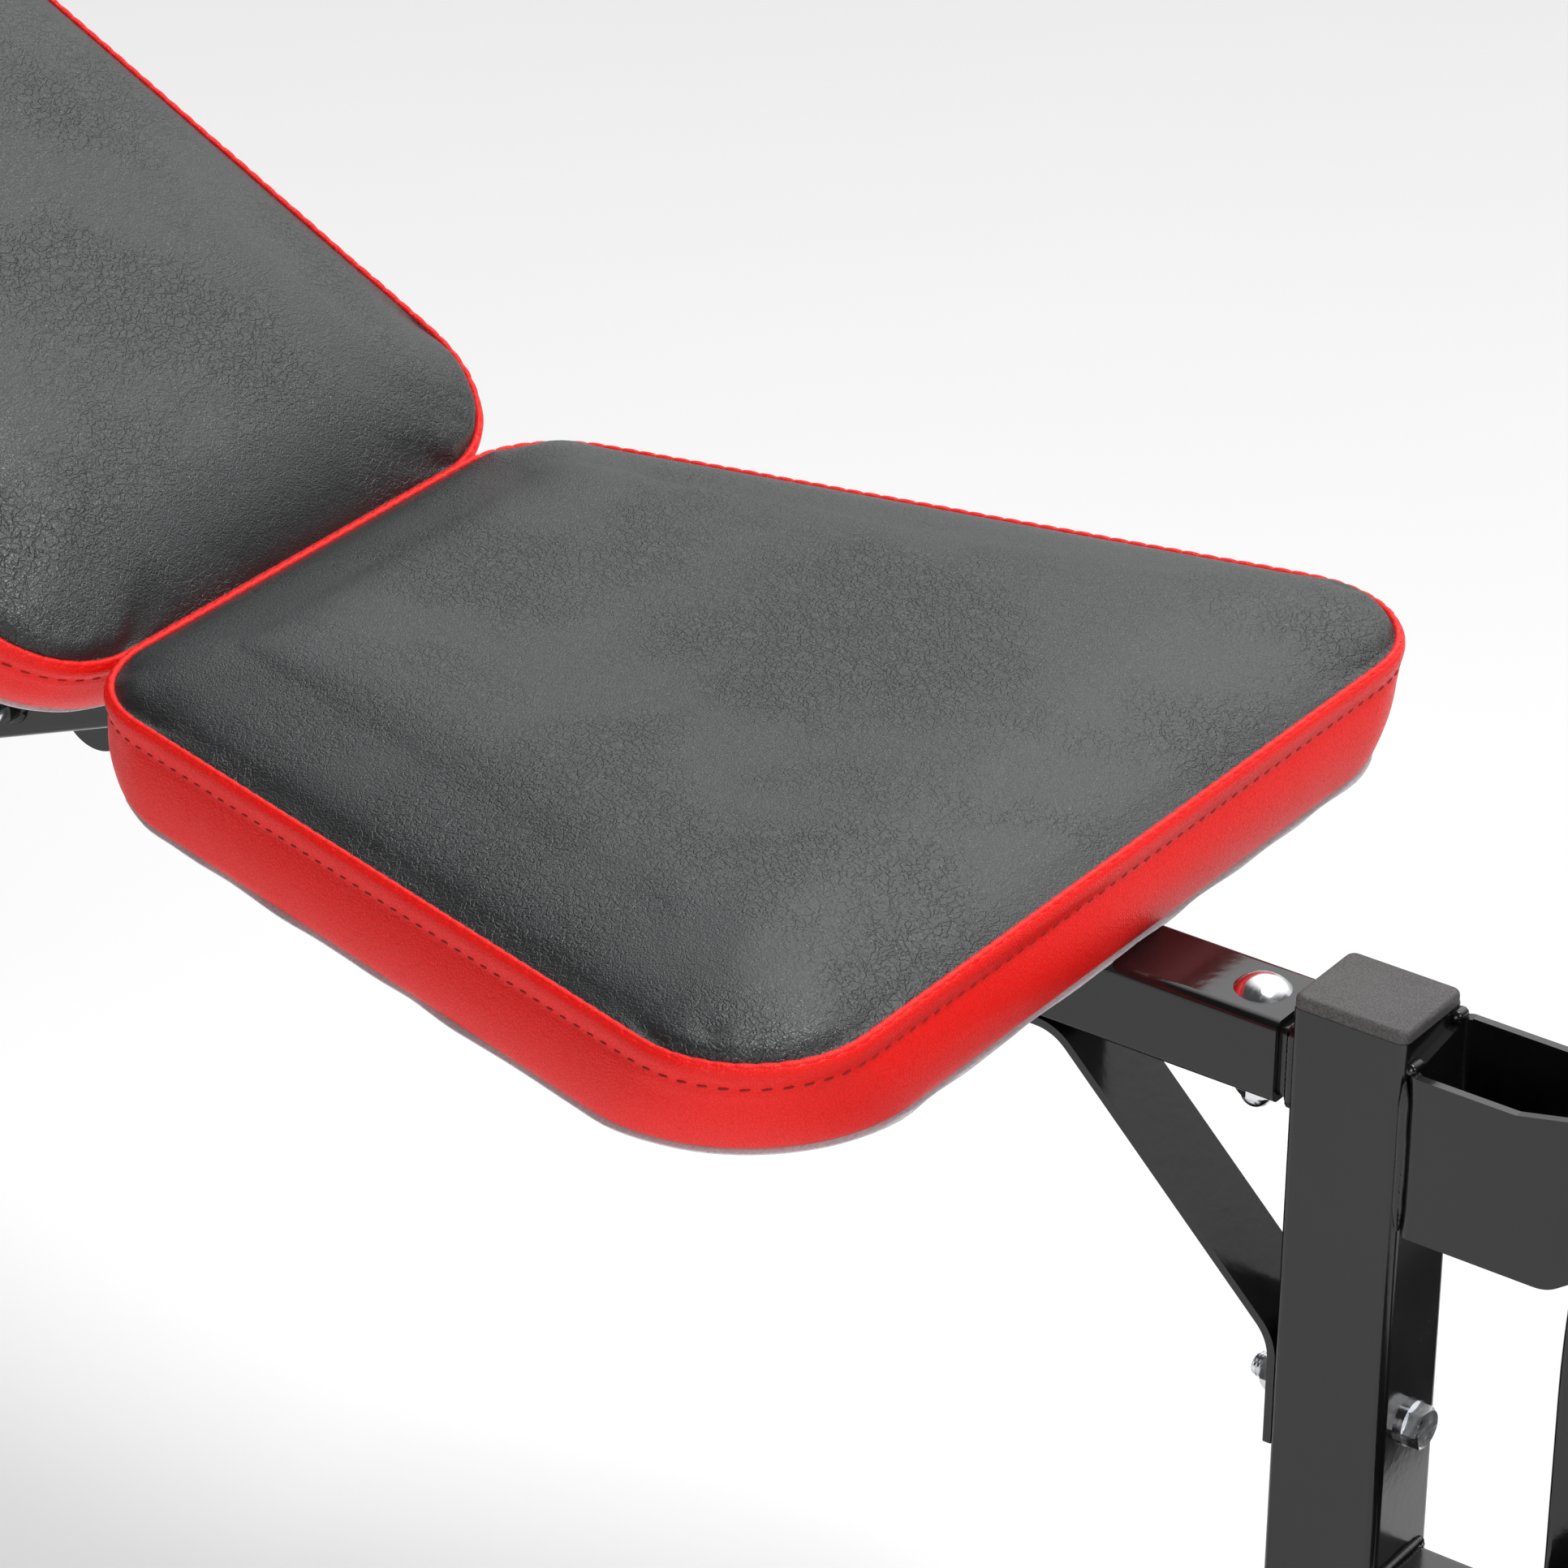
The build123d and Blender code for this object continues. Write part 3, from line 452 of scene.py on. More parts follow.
class Pad:
    """One pad in its own frame: u along it, v across it, w out of its face."""

    def __init__(self, name, body, place, stations, side):
        self.name = name
        self.body = body
        self.place = place
        self.stations = stations
        self.side = side
        ends = (CORNER_R,)
        middle = (WAIST_R,) * (len(stations) - 2)
        self.radii = (ends + middle + ends) * 2

    def corners(self, inset):
        """The outline's sharp corners, moved inwards: near side first, then the far side back."""
        near = [Vector((u, -half)) for u, half in self.stations]
        far = [Vector((u, half)) for u, half in reversed(self.stations)]
        points = near + far
        count = len(points)
        moved = []
        for i, here in enumerate(points):
            before = (here - points[i - 1]).normalized()
            after = (points[(i + 1) % count] - here).normalized()
            before_in = Vector((-before.y, before.x))
            after_in = Vector((-after.y, after.x))
            middle = (before_in + after_in).normalized()
            moved.append(here + middle * (inset / middle.dot(before_in)))
        return moved

    def outline(self, inset, extra_round=0.0, counts=(72, 66)):
        """Rounded outline as four curves between the middles of its corner arcs, joined in a ring."""
        points = self.corners(inset)
        count = len(points)
        rounds = []
        for i, here in enumerate(points):
            before = (points[i - 1] - here).normalized()
            after = (points[(i + 1) % count] - here).normalized()
            half_turn = before.angle(after) / 2
            base = self.radii[i]
            is_corner = base == CORNER_R
            radius = max(base - inset + extra_round, 5 * MM) if is_corner else base
            reach = radius / max(abs(sin(half_turn) / cos(half_turn)), 1e-6)
            toward = (before + after).normalized()
            centre = here + toward * (radius / sin(half_turn))
            start = here + before * reach - centre
            end = here + after * reach - centre
            turn = atan2(start.x * end.y - start.y * end.x, start.dot(end))
            steps = 24 if is_corner else 8
            arc = []
            for k in range(steps + 1):
                part = turn * k / steps
                spun = Vector((
                    start.x * cos(part) - start.y * sin(part),
                    start.x * sin(part) + start.y * cos(part),
                ))
                arc.append(centre + spun)
            rounds.append((is_corner, arc))
        ring = []
        places = []
        for is_corner, arc in rounds:
            if is_corner:
                places.append(len(ring) + len(arc) // 2)
            ring.extend(arc)
        sides = []
        for k, start in enumerate(places):
            end = places[(k + 1) % 4]
            stretch = ring[start:end + 1] if end > start else ring[start:] + ring[:end + 1]
            along = counts[k % 2]
            sides.append(resample(stretch, along + 1))
        return sides

    def ring(self, inset, height, extra_round=0.0):
        """One closed row of points, in pad coordinates."""
        flat = []
        for side in self.outline(inset, extra_round):
            flat.extend(side[:-1])
        return [Vector((p.x, p.y, height)) for p in flat]


def crown(depth):
    """Height of the top panel above the seam, this far in from the edge."""
    share = min(max((depth - SEAM_IN) / CROWN_WIDTH, 0.0), 1.0)
    return CROWN_RISE * (1 - (1 - share) ** CROWN_POWER)


def pad_rows(pad):
    """Rows from under the bottom edge, up the side, over the seam and in over the top."""
    side = pad.side
    rows = [
        ("under", 6.0 * MM, 1.3 * MM, UNDER_ROUND),
        ("under", 2.2 * MM, 1.1 * MM, UNDER_ROUND),
        ("side", -0.6 * MM, 1.6 * MM, UNDER_ROUND),
        ("side", -2.0 * MM, 4.0 * MM, 17 * MM),
    ]
    for k in range(1, 6):
        share = k / 6
        height = 4.0 * MM + (side - STITCH_DROP - 5.0 * MM) * share
        bulge = -2.0 - 1.6 * sin(pi * share) + 1.8 * share
        rows.append(("side", bulge * MM, height, (17 - 15 * share) * MM))
    rows += [
        ("side", -0.7 * MM, side - STITCH_DROP - 2.0 * MM, 1.5 * MM),
        ("stitch", 0.3 * MM, side - STITCH_DROP, 1 * MM),
        ("side", -0.8 * MM, side - STITCH_DROP + 2.2 * MM, 0.5 * MM),
        ("side", -1.3 * MM, side - 4.4 * MM, 0.0),
        ("side", -0.8 * MM, side - 1.8 * MM, 0.0),
        ("side", 0.2 * MM, side - 1.1 * MM, 0.0),
        ("side", 1.4 * MM, side - 0.9 * MM, 0.0),
        ("seam", SEAM_IN, side - 1.6 * MM, 0.0),
        ("top", 2.7 * MM, side - 0.5 * MM, 0.0),
        ("top", 3.3 * MM, side + 0.8 * MM, 0.0),
    ]
    depth = 5.0 * MM
    while depth < ROWS_IN:
        rows.append(("top", depth, side + TOP_LIFT + crown(depth), 0.0))
        depth += min(2.4 * MM + depth * 0.14, 5.2 * MM)
    return rows


def pad_shape(pad):
    """Points, faces, material numbers and the rows of the pad's closed form, in pad coordinates."""
    rows = pad_rows(pad)
    points = []
    faces = []
    marks = []
    kinds = []
    starts = []
    for kind, inset, height, extra in rows:
        starts.append(len(points))
        ring = pad.ring(inset, height, extra)
        points.extend(ring)
        kinds.extend([kind] * len(ring))
    count = starts[1]
    for k in range(len(rows) - 1):
        made = loop_faces(starts[k], starts[k + 1], count)
        faces.extend(made)
        top = rows[k][0] in ("seam", "top")
        marks.extend([BLACK_PANEL if top else RED_BAND] * len(made))
    fill_grid(pad, points, faces, marks, kinds, starts[-1], rows[-1], True)
    fill_grid(pad, points, faces, marks, kinds, starts[0], rows[0], False)
    return points, faces, marks, kinds, rows, starts, count


def fill_grid(pad, points, faces, marks, kinds, start, row, is_top):
    """Fill a ring with an even grid whose corners are the ring's four corners."""
    inset, height, extra = row[1:]
    sides = pad.outline(inset, extra)
    nu, nv = len(sides[0]) - 1, len(sides[1]) - 1
    count = 2 * (nu + nv)
    ring = [points[start + i] for i in range(count)]
    number = {}
    for i in range(nu + 1):
        number[i, 0] = start + i
        number[nu - i, nv] = start + nu + nv + i
    for j in range(nv + 1):
        number[nu, j] = start + nu + j
        number[0, nv - j] = start + (2 * nu + nv + j) % count
    for j in range(1, nv):
        for i in range(1, nu):
            a, b = i / nu, j / nv
            near, far = points[number[i, 0]], points[number[i, nv]]
            left, right = points[number[0, j]], points[number[nu, j]]
            c00, c10 = points[number[0, 0]], points[number[nu, 0]]
            c01, c11 = points[number[0, nv]], points[number[nu, nv]]
            flat = near * (1 - b) + far * b + left * (1 - a) + right * a
            flat = flat - (
                c00 * (1 - a) * (1 - b) + c10 * a * (1 - b) + c01 * (1 - a) * b + c11 * a * b
            )
            spot = Vector((flat.x, flat.y, height))
            if is_top:
                depth = min((spot - other).length for other in ring[::4])
                spot.z = height + crown(inset + depth) - crown(inset)
            number[i, j] = len(points)
            points.append(spot)
            kinds.append("top" if is_top else "base")
    for j in range(nv):
        for i in range(nu):
            quad = (number[i, j], number[i + 1, j], number[i + 1, j + 1], number[i, j + 1])
            faces.append(quad if is_top else quad[::-1])
            marks.append(BLACK_PANEL if is_top else RED_BAND)


def swell(pad, mesh, kinds):
    """Blow the cover up by cloth simulation, held at its seam and stitch lines and round the board."""
    before = [v.co.copy() for v in mesh.vertices]
    helper = bpy.data.objects.new(f"{pad.name}_cloth", mesh)
    bpy.context.scene.collection.objects.link(helper)
    held = helper.vertex_groups.new(name="held")
    weights = {"under": 1.0, "base": 1.0, "seam": 1.0, "stitch": 0.9}
    for index, kind in enumerate(kinds):
        if kind in weights:
            held.add([index], weights[kind], "REPLACE")
    cloth = helper.modifiers.new("Cloth", "CLOTH")
    cloth.settings.quality = 5
    cloth.settings.mass = 0.25
    cloth.settings.tension_stiffness = 22
    cloth.settings.compression_stiffness = 22
    cloth.settings.bending_stiffness = 1.2
    cloth.settings.use_pressure = True
    cloth.settings.uniform_pressure_force = CLOTH_PRESSURE
    cloth.settings.vertex_group_mass = "held"
    cloth.settings.effector_weights.gravity = 0.0
    cloth.collision_settings.use_collision = False
    cloth.point_cache.frame_start = 1
    cloth.point_cache.frame_end = CLOTH_FRAMES
    scene = bpy.context.scene
    for number in range(1, CLOTH_FRAMES + 1):
        scene.frame_set(number)
    ready = helper.evaluated_get(bpy.context.evaluated_depsgraph_get()).to_mesh()
    after = [v.co.copy() for v in ready.vertices]
    helper.evaluated_get(bpy.context.evaluated_depsgraph_get()).to_mesh_clear()
    scene.frame_set(1)
    bpy.data.objects.remove(helper)
    moved = []
    for old, new in zip(before, after):
        step = new - old
        if step.length > CLOTH_CAP:
            step = step.normalized() * CLOTH_CAP
        moved.append(old + step)
    return moved


def pucker(pad, points, rows, starts, count):
    """Gather the cover at the seam: small folds along it, and longer ones round the corners."""
    sides = pad.outline(0.0)
    counts = [len(side) - 1 for side in sides]
    seam_row = next(k for k, row in enumerate(rows) if row[0] == "seam")
    seam = points[starts[seam_row]:starts[seam_row] + count]
    reach = [0.0]
    for a, b in zip(seam, seam[1:]):
        reach.append(reach[-1] + (b - a).length)
    corner_at = [0, counts[0], counts[0] + counts[1], 2 * counts[0] + counts[1], count]
    for k, (kind, inset, height, _) in enumerate(rows):
        if kind in ("under", "seam"):
            continue
        gap = abs(height - pad.side) + max(inset, 0.0)
        fade = 2.718 ** (-gap / PUCKER_FADE)
        corner_fade = 2.718 ** (-gap / CORNER_FADE)
        for i in range(count):
            index = starts[k] + i
            here = points[index]
            nearest = min(abs(reach[i] - reach[min(c, count - 1)]) for c in corner_at)
            at_corner = max(0.0, 1 - nearest / CORNER_REACH)
            wobble = noise.noise(Vector((reach[i] * 55, k * 0.15, 3.1 + pad.side * 90)))
            folds = sin(2 * pi * reach[i] / PUCKER_PITCH + 5.0 * wobble)
            long_folds = sin(2 * pi * reach[i] / (1.25 * PUCKER_PITCH) + 3.0 * wobble)
            lift = PUCKER_LIFT * fade * folds * (0.6 + 0.8 * wobble)
            lift += CORNER_LIFT * corner_fade * at_corner * long_folds
            if kind == "top":
                here.z += lift
            outward = outward_at(seam, i)
            here += outward * (lift * (0.8 if kind == "top" else 1.0))


def outward_at(ring, i):
    """Level direction out of a ring of points, at one of them."""
    run = ring[(i + 1) % len(ring)] - ring[i - 1]
    out = Vector((run.y, -run.x, 0.0))
    return out.normalized()


def calm(mesh, points, kinds, first):
    """Even out the top panel inside its edge rows, so that no ridge runs in from a corner."""
    beside = {}
    for edge in mesh.edges:
        for here, there in (edge.vertices, reversed(edge.vertices)):
            if here >= first and kinds[here] == "top":
                beside.setdefault(here, []).append(there)
    for _ in range(CALM_ROUNDS):
        heights = {i: sum(points[j].z for j in near) / len(near) for i, near in beside.items()}
        for i, height in heights.items():
            points[i].z = height


def soften(points, kinds, pad):
    """Slow hollows and swellings over the top, as foam settles."""
    for point, kind in zip(points, kinds):
        if kind != "top":
            continue
        spot = Vector((point.x * 9, point.y * 9, 7.7 + pad.side * 60))
        inner = min(max((point.z - pad.side) / CROWN_RISE, 0.0), 1.0)
        point.z += SETTLE * inner * noise.noise(spot)


def build_pad(pad):
    """The cushion as one closed cover: black top panel, red side band, with its stitches."""
    points, faces, marks, kinds, rows, starts, count = pad_shape(pad)
    mesh = mesh_of(f"{pad.name}_cushion_cover", points, faces)
    points = swell(pad, mesh, kinds)
    inner_row = next(k for k, row in enumerate(rows) if row[0] == "top" and row[1] > CALM_DEPTH)
    calm(mesh, points, kinds, starts[inner_row])
    soften(points, kinds, pad)
    pucker(pad, points, rows, starts, count)
    for vertex, point in zip(mesh.vertices, points):
        vertex.co = pad.place @ point
    for face, mark in zip(mesh.polygons, marks):
        face.material_index = mark
    mesh.update()
    cover = new_piece(
        f"{pad.name}_cushion_cover", mesh, [FINISHES["pad_vinyl"], RED_VINYL], pad.body
    )
    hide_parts(f"{pad.name}_cushion")
    finer = cover.modifiers.new("Subdivision", "SUBSURF")
    finer.levels = 1
    finer.render_levels = 1
    stitch_row = next(k for k, row in enumerate(rows) if row[0] == "stitch")
    line = points[starts[stitch_row]:starts[stitch_row] + count]
    sew(pad, f"{pad.name}_topstitch", line)
    seam_row = next(k for k, row in enumerate(rows) if row[0] == "seam")
    seam_roll(pad, points[starts[seam_row]:starts[seam_row] + count])
    lining_edge(pad)


def sew(pad, name, line):
    """A row of stitches that lie in the cover along a ring of points."""
    whole = line + [line[0]]
    total = round(line_length(whole) / STITCH_PITCH)
    places = resample(line, total * 4, closed=True)
    points = []
    faces = []
    around = 6
    along = 6
    for k in range(total):
        middle = places[4 * k]
        run = (places[(4 * k + 1) % len(places)] - places[4 * k - 1]).normalized()
        out = Vector((run.y, -run.x, 0.0)).normalized()
        tilt = Vector((0, 0, 1))
        start = len(points)
        for a in range(along + 1):
            share = a / along * 2 - 1
            thick = STITCH_R * max(1 - share ** 4, 0.0) ** 0.5 + 0.03 * MM
            sink = 0.75 * MM * share ** 4 - 0.25 * MM
            centre = middle + run * (share * STITCH_LENGTH / 2) - out * sink + tilt * (0.25 * MM * share)
            for b in range(around):
                angle = 2 * pi * b / around
                points.append(pad.place @ (centre + (out * cos(angle) + tilt * sin(angle)) * thick))
        for a in range(along):
            faces.extend(loop_faces(start + a * around, start + (a + 1) * around, around))
        faces.append(tuple(start + b for b in range(around))[::-1])
        faces.append(tuple(start + along * around + b for b in range(around)))
    new_piece(name, mesh_of(name, points, faces), [RED_THREAD], pad.body)


def seam_roll(pad, line):
    """The folded edge of the side band along the seam, drawn in a little by every stitch."""
    name = f"{pad.name}_seam_roll"
    whole = line + [line[0]]
    stitches = round(line_length(whole) / STITCH_PITCH)
    per_stitch = 8
    around = 10
    places = resample(line, stitches * per_stitch, closed=True)
    total = len(places)
    points = []
    for i, here in enumerate(places):
        run = (places[(i + 1) % total] - places[i - 1]).normalized()
        out = Vector((run.y, -run.x, 0.0)).normalized()
        share = (i % per_stitch) / per_stitch
        slack = noise.noise(here * 60)
        puff = sin(pi * share) ** 0.6
        size = ROLL_R * (0.86 + 0.16 * puff + 0.06 * slack)
        middle = here + out * (ROLL_OUT + 0.16 * MM * puff + 0.12 * MM * slack)
        middle.z += ROLL_LIFT + 0.12 * MM * puff
        for a in range(around):
            angle = 2 * pi * a / around
            points.append(pad.place @ (middle + (out * cos(angle) + Vector((0, 0, sin(angle)))) * size))
    faces = []
    for i in range(total):
        faces.extend(loop_faces(i * around, (i + 1) % total * around, around))
    new_piece(name, mesh_of(name, points, faces), [RED_VINYL], pad.body)


def lining_edge(pad):
    """The cut edge of the lining under the pad, which shows as a thin wavy lip."""
    name = f"{pad.name}_lining_edge"
    inner = pad.ring(7.0 * MM, 0.5 * MM, UNDER_ROUND)
    outer = pad.ring(0.0, 0.0, UNDER_ROUND)
    count = len(outer)
    points = []
    for level in (0, 1):
        for ring_number, ring in enumerate((inner, outer)):
            for i, p in enumerate(ring):
                spot = p.copy()
                if ring_number:
                    wave = noise.noise(Vector((p.x * 42, p.y * 42, pad.side * 80)))
                    spot += outward_at(outer, i) * (wave * 2.0 * MM + 0.5 * MM)
                    spot.z += wave * 0.9 * MM - 0.5 * MM
                spot.z += level * 0.55 * MM
                points.append(pad.place @ spot)
    faces = loop_faces(count, 0, count)
    faces += loop_faces(2 * count, 3 * count, count)
    faces += loop_faces(0, 2 * count, count)
    faces += loop_faces(3 * count, count, count)
    new_piece(name, mesh_of(name, points, faces), [FINISHES["backing_cloth"]], pad.body)


def columns(x, y, z, origin):
    """A matrix from its three directions and its origin."""
    rows = [(x[i], y[i], z[i], origin[i]) for i in range(3)]
    return Matrix((*rows, (0, 0, 0, 1)))


seat_low = box_of("seat_cushion")[0]
hinge = centre_of("hinge_bolt")
back_along = Vector((-cos(BACK_ANGLE), 0, sin(BACK_ANGLE)))
back_out = Vector((sin(BACK_ANGLE), 0, cos(BACK_ANGLE)))
back_origin = Vector((hinge.x, 0, hinge.z)) + back_along * BACK_START + back_out * BACK_BOARD_H

SEAT = Pad(
    "seat",
    "frame",
    Matrix.Translation((seat_low.x, 0, seat_low.z)),
    [(0.0, SEAT_REAR_HALF), (SEAT_LENGTH, SEAT_FRONT_HALF)],
    SEAT_SIDE,
)
BACK = Pad(
    "back",
    "backrest",
    columns(back_along, Vector((0, -1, 0)), back_out, back_origin),
    [(0.0, BACK_LOW_HALF), (BACK_WAIST_RUN, BACK_WAIST_HALF), (BACK_LENGTH, BACK_HIGH_HALF)],
    BACK_SIDE,
)


# ======================= Rollers =======================

def build_roller(node, body):
    """A foam roller: soft rounded ends that dip towards the bar, and a slightly uneven skin."""
    low, high = box_of(node)
    middle = (low + high) / 2
    radius = (high.z - low.z) / 2
    half = (high.y - low.y) / 2
    bore = 12.7 * MM
    soft = 9 * MM
    lip = 2 * MM
    dip = 0.9 * MM
    profile = [(bore, -half + 12 * MM), (bore, -half + 2.5 * MM), (bore + lip, -half + dip)]
    for k in range(5):
        share = (k + 1) / 5
        spot = bore + lip + (radius - soft - bore - lip) * share
        profile.append((spot, -half + dip * (1 - share)))
    for k in range(1, 9):
        angle = pi / 2 * k / 8
        profile.append((radius - soft + soft * sin(angle), -half + soft - soft * cos(angle)))
    straight = 14
    run = 2 * (half - soft)
    barrel = [(radius, -half + soft + run * k / straight) for k in range(1, straight)]
    right = [(r, -y) for r, y in reversed(profile)]
    whole = profile + barrel + right
    around = 72
    points = []
    for r, y in whole:
        for a in range(around):
            angle = 2 * pi * a / around
            way = Vector((cos(angle), 0, sin(angle)))
            dent = noise.noise(Vector((way.x * 2.3, (middle.y + y) * 26, way.z * 2.3 + middle.z * 9)))
            keep = min(max((r - bore) / (8 * MM), 0.0), 1.0)
            points.append(middle + way * (r - keep * 0.45 * MM * (1 + dent)) + Vector((0, y, 0)))
    faces = []
    for k in range(len(whole)):
        faces.extend(loop_faces(k * around, (k + 1) % len(whole) * around, around))
    name = f"{node}_foam"
    mesh = mesh_of(name, points, [face[::-1] for face in faces])
    piece = new_piece(name, mesh, [FINISHES["roller_foam"]], body)
    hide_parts(node)


# ======================= Welds and threads =======================

def weld(name, path, body, radius=2.2 * MM, closed=False):
    """A weld bead laid along a path: a low tube with the ripples of the moving arc."""
    step = 0.8 * MM
    whole = path + [path[0]] if closed else path
    count = max(int(line_length(whole) / step), 6)
    line = resample(path, count, closed)
    around = 10
    points = []
    for i, here in enumerate(line):
        ahead = line[(i + 1) % count] if closed or i + 1 < count else here
        behind = line[i - 1] if closed or i else here
        run = (ahead - behind).normalized()
        side = run.orthogonal() if abs(run.z) < 0.9 else Vector((1, 0, 0)).cross(run)
        flat = Vector((0, 0, 1)).cross(run)
        side = flat.normalized() if flat.length > 0.3 else side.normalized()
        lift = run.cross(side).normalized()
        wobble = noise.noise(here * 130)
        ripple = 1 + 0.13 * abs(sin(pi * i * step / (2.1 * MM))) + 0.16 * wobble
        share = i / max(count - 1, 1)
        end = 1.0 if closed else min(1.0, (6.0 * share) ** 0.5, (6.0 * (1 - share)) ** 0.5)
        size = radius * ripple * max(end, 0.12)
        shifted = here + (side + lift) * (0.25 * MM * wobble)
        for a in range(around):
            angle = 2 * pi * a / around
            points.append(shifted + (side * cos(angle) + lift * sin(angle)) * size)
    faces = []
    for i in range(count - 1):
        faces.extend(loop_faces(i * around, (i + 1) * around, around))
    if closed:
        faces.extend(loop_faces((count - 1) * around, 0, around))
    else:
        faces.append(tuple(range(around))[::-1])
        faces.append(tuple((count - 1) * around + a for a in range(around)))
    new_piece(name, mesh_of(name, points, faces), [FINISHES["frame_paint"]], body)


def rectangle(centre, a, b):
    """Closed path round a rectangle with half sides a and b, given as vectors."""
    return [centre - a - b, centre + a - b, centre + a + b, centre - a + b]


def circle(centre, a, b, steps=40):
    """Closed path round a circle whose radii are the vectors a and b."""
    return [centre + a * cos(2 * pi * k / steps) + b * sin(2 * pi * k / steps) for k in range(steps)]


def frame_welds():
    """Beads where the frame's tubes and plates meet."""
    post_low, post_high = box_of("front_post")
    mid_x = (post_low.x + post_high.x) / 2
    foot_high = box_of("front_foot")[1]
    half_x = Vector(((post_high.x - post_low.x) / 2 + 0.3 * MM, 0, 0))
    half_y = Vector((0, (post_high.y - post_low.y) / 2 + 0.3 * MM, 0))
    post_foot = rectangle(Vector((mid_x, 0, foot_high.z)), half_x, half_y)
    weld("weld_post_foot", post_foot, "frame", 2.4 * MM, True)

    stub_low, stub_high = box_of("beam_stub")
    stub_mid = (stub_low + stub_high) / 2
    stub_y = Vector((0, (stub_high.y - stub_low.y) / 2, 0))
    stub_z = Vector((0, 0, (stub_high.z - stub_low.z) / 2))
    at_post = Vector((post_low.x, 0, stub_mid.z))
    weld("weld_stub_post", rectangle(at_post, stub_y, stub_z), "frame", 2.2 * MM, True)

    cheek_low = box_of("arm_bracket")[0]
    near_top = post_high.z - CHEEK_DROP
    far_top = near_top + FAR_CHEEK_RISE
    for name, y, top in (("near", post_low.y, near_top), ("far", post_high.y, far_top)):
        inward = 1 if y < 0 else -1
        edge = [
            Vector((post_high.x + 0.6 * MM, y + inward * 0.4 * MM, top - 2 * MM)),
            Vector((post_high.x + 0.6 * MM, y + inward * 0.4 * MM, cheek_low.z + 1 * MM)),
        ]
        weld(f"weld_bracket_{name}", edge, "frame", 1.8 * MM)
        tip = [
            Vector((post_high.x + 0.8 * MM, y + inward * 1.0 * MM, top + 0.3 * MM)),
            Vector((post_high.x + 1.2 * MM, y + inward * 8.5 * MM, top + 1.2 * MM)),
        ]
        weld(f"weld_bracket_top_{name}", tip, "frame", 2.3 * MM)
    under = [
        Vector((post_high.x + 0.4 * MM, post_low.y + 5 * MM, cheek_low.z)),
        Vector((post_high.x + 0.4 * MM, post_high.y - 5 * MM, cheek_low.z)),
    ]
    weld("weld_bracket_under", under, "frame", 2.0 * MM)

    stop_low, stop_high = box_of("stop_stub")
    stop_mid = Vector((post_high.x, 0, (stop_low.z + stop_high.z) / 2))
    stop_half = (stop_high.z - stop_low.z) / 2
    square = rectangle(stop_mid, Vector((0, stop_half, 0)), Vector((0, 0, stop_half)))
    weld("weld_stop_post", square, "frame", 2.0 * MM, True)

    beam_low, beam_high = box_of("main_beam")
    rear_low, rear_high = box_of("rear_foot")
    rear_x = (rear_low.x + rear_high.x) / 2
    slope_half = (beam_high.z - seat_beam_bottom()) / 2 / sin(radians(REAR_SLOPE))
    slope = rectangle(
        Vector((rear_x, 0, rear_high.z)),
        Vector((slope_half, 0, 0)),
        Vector((0, beam_high.y, 0)),
    )
    weld("weld_beam_rear_foot", slope, "frame", 2.4 * MM, True)

    low, high = box_of("seat_brackets")
    leg = 36 * MM
    for k, start in enumerate((low.x, high.x - leg)):
        for side in (-1, 1):
            y = side * (beam_high.y + 0.2 * MM)
            for end, x in (("rear", start), ("front", start + leg)):
                edge = [Vector((x, y, low.z + 1 * MM)), Vector((x, y, high.z - 1 * MM))]
                weld(f"weld_seat_bracket_{k}_{side % 3}_{end}", edge, "frame", 1.7 * MM)

    sleeve = centre_of("lock_sleeve")
    middle = Vector((sleeve.x, beam_low.y, sleeve.z))
    ring = circle(middle, Vector((LOCK_WELD_R, 0, 0)), Vector((0, 0, LOCK_WELD_R)))
    weld("weld_lock_sleeve", ring, "frame", 1.6 * MM, True)


def seat_beam_bottom():
    """Underside of the level part of the beam: the top of the brace under it."""
    return box_of("seat_brace")[1].z


def arm_welds():
    """Beads on the leg arm, round the spacers of both roller bars where they meet its sides."""
    arm_high = box_of("leg_arm")[1]
    for level in ("upper", "lower"):
        bar = centre_of(f"{level}_roller_bar")
        low, high = box_of(f"{level}_roller_bar")
        reach = (high.z - low.z) / 2 + BAR_WELD_OUT
        for side in (-1, 1):
            y = side * arm_high.y
            ring = circle(Vector((bar.x, y, bar.z)), Vector((reach, 0, 0)), Vector((0, 0, reach)))
            weld(f"weld_{level}_bar_{side % 3}", ring, "leg_arm", 1.1 * MM, True)


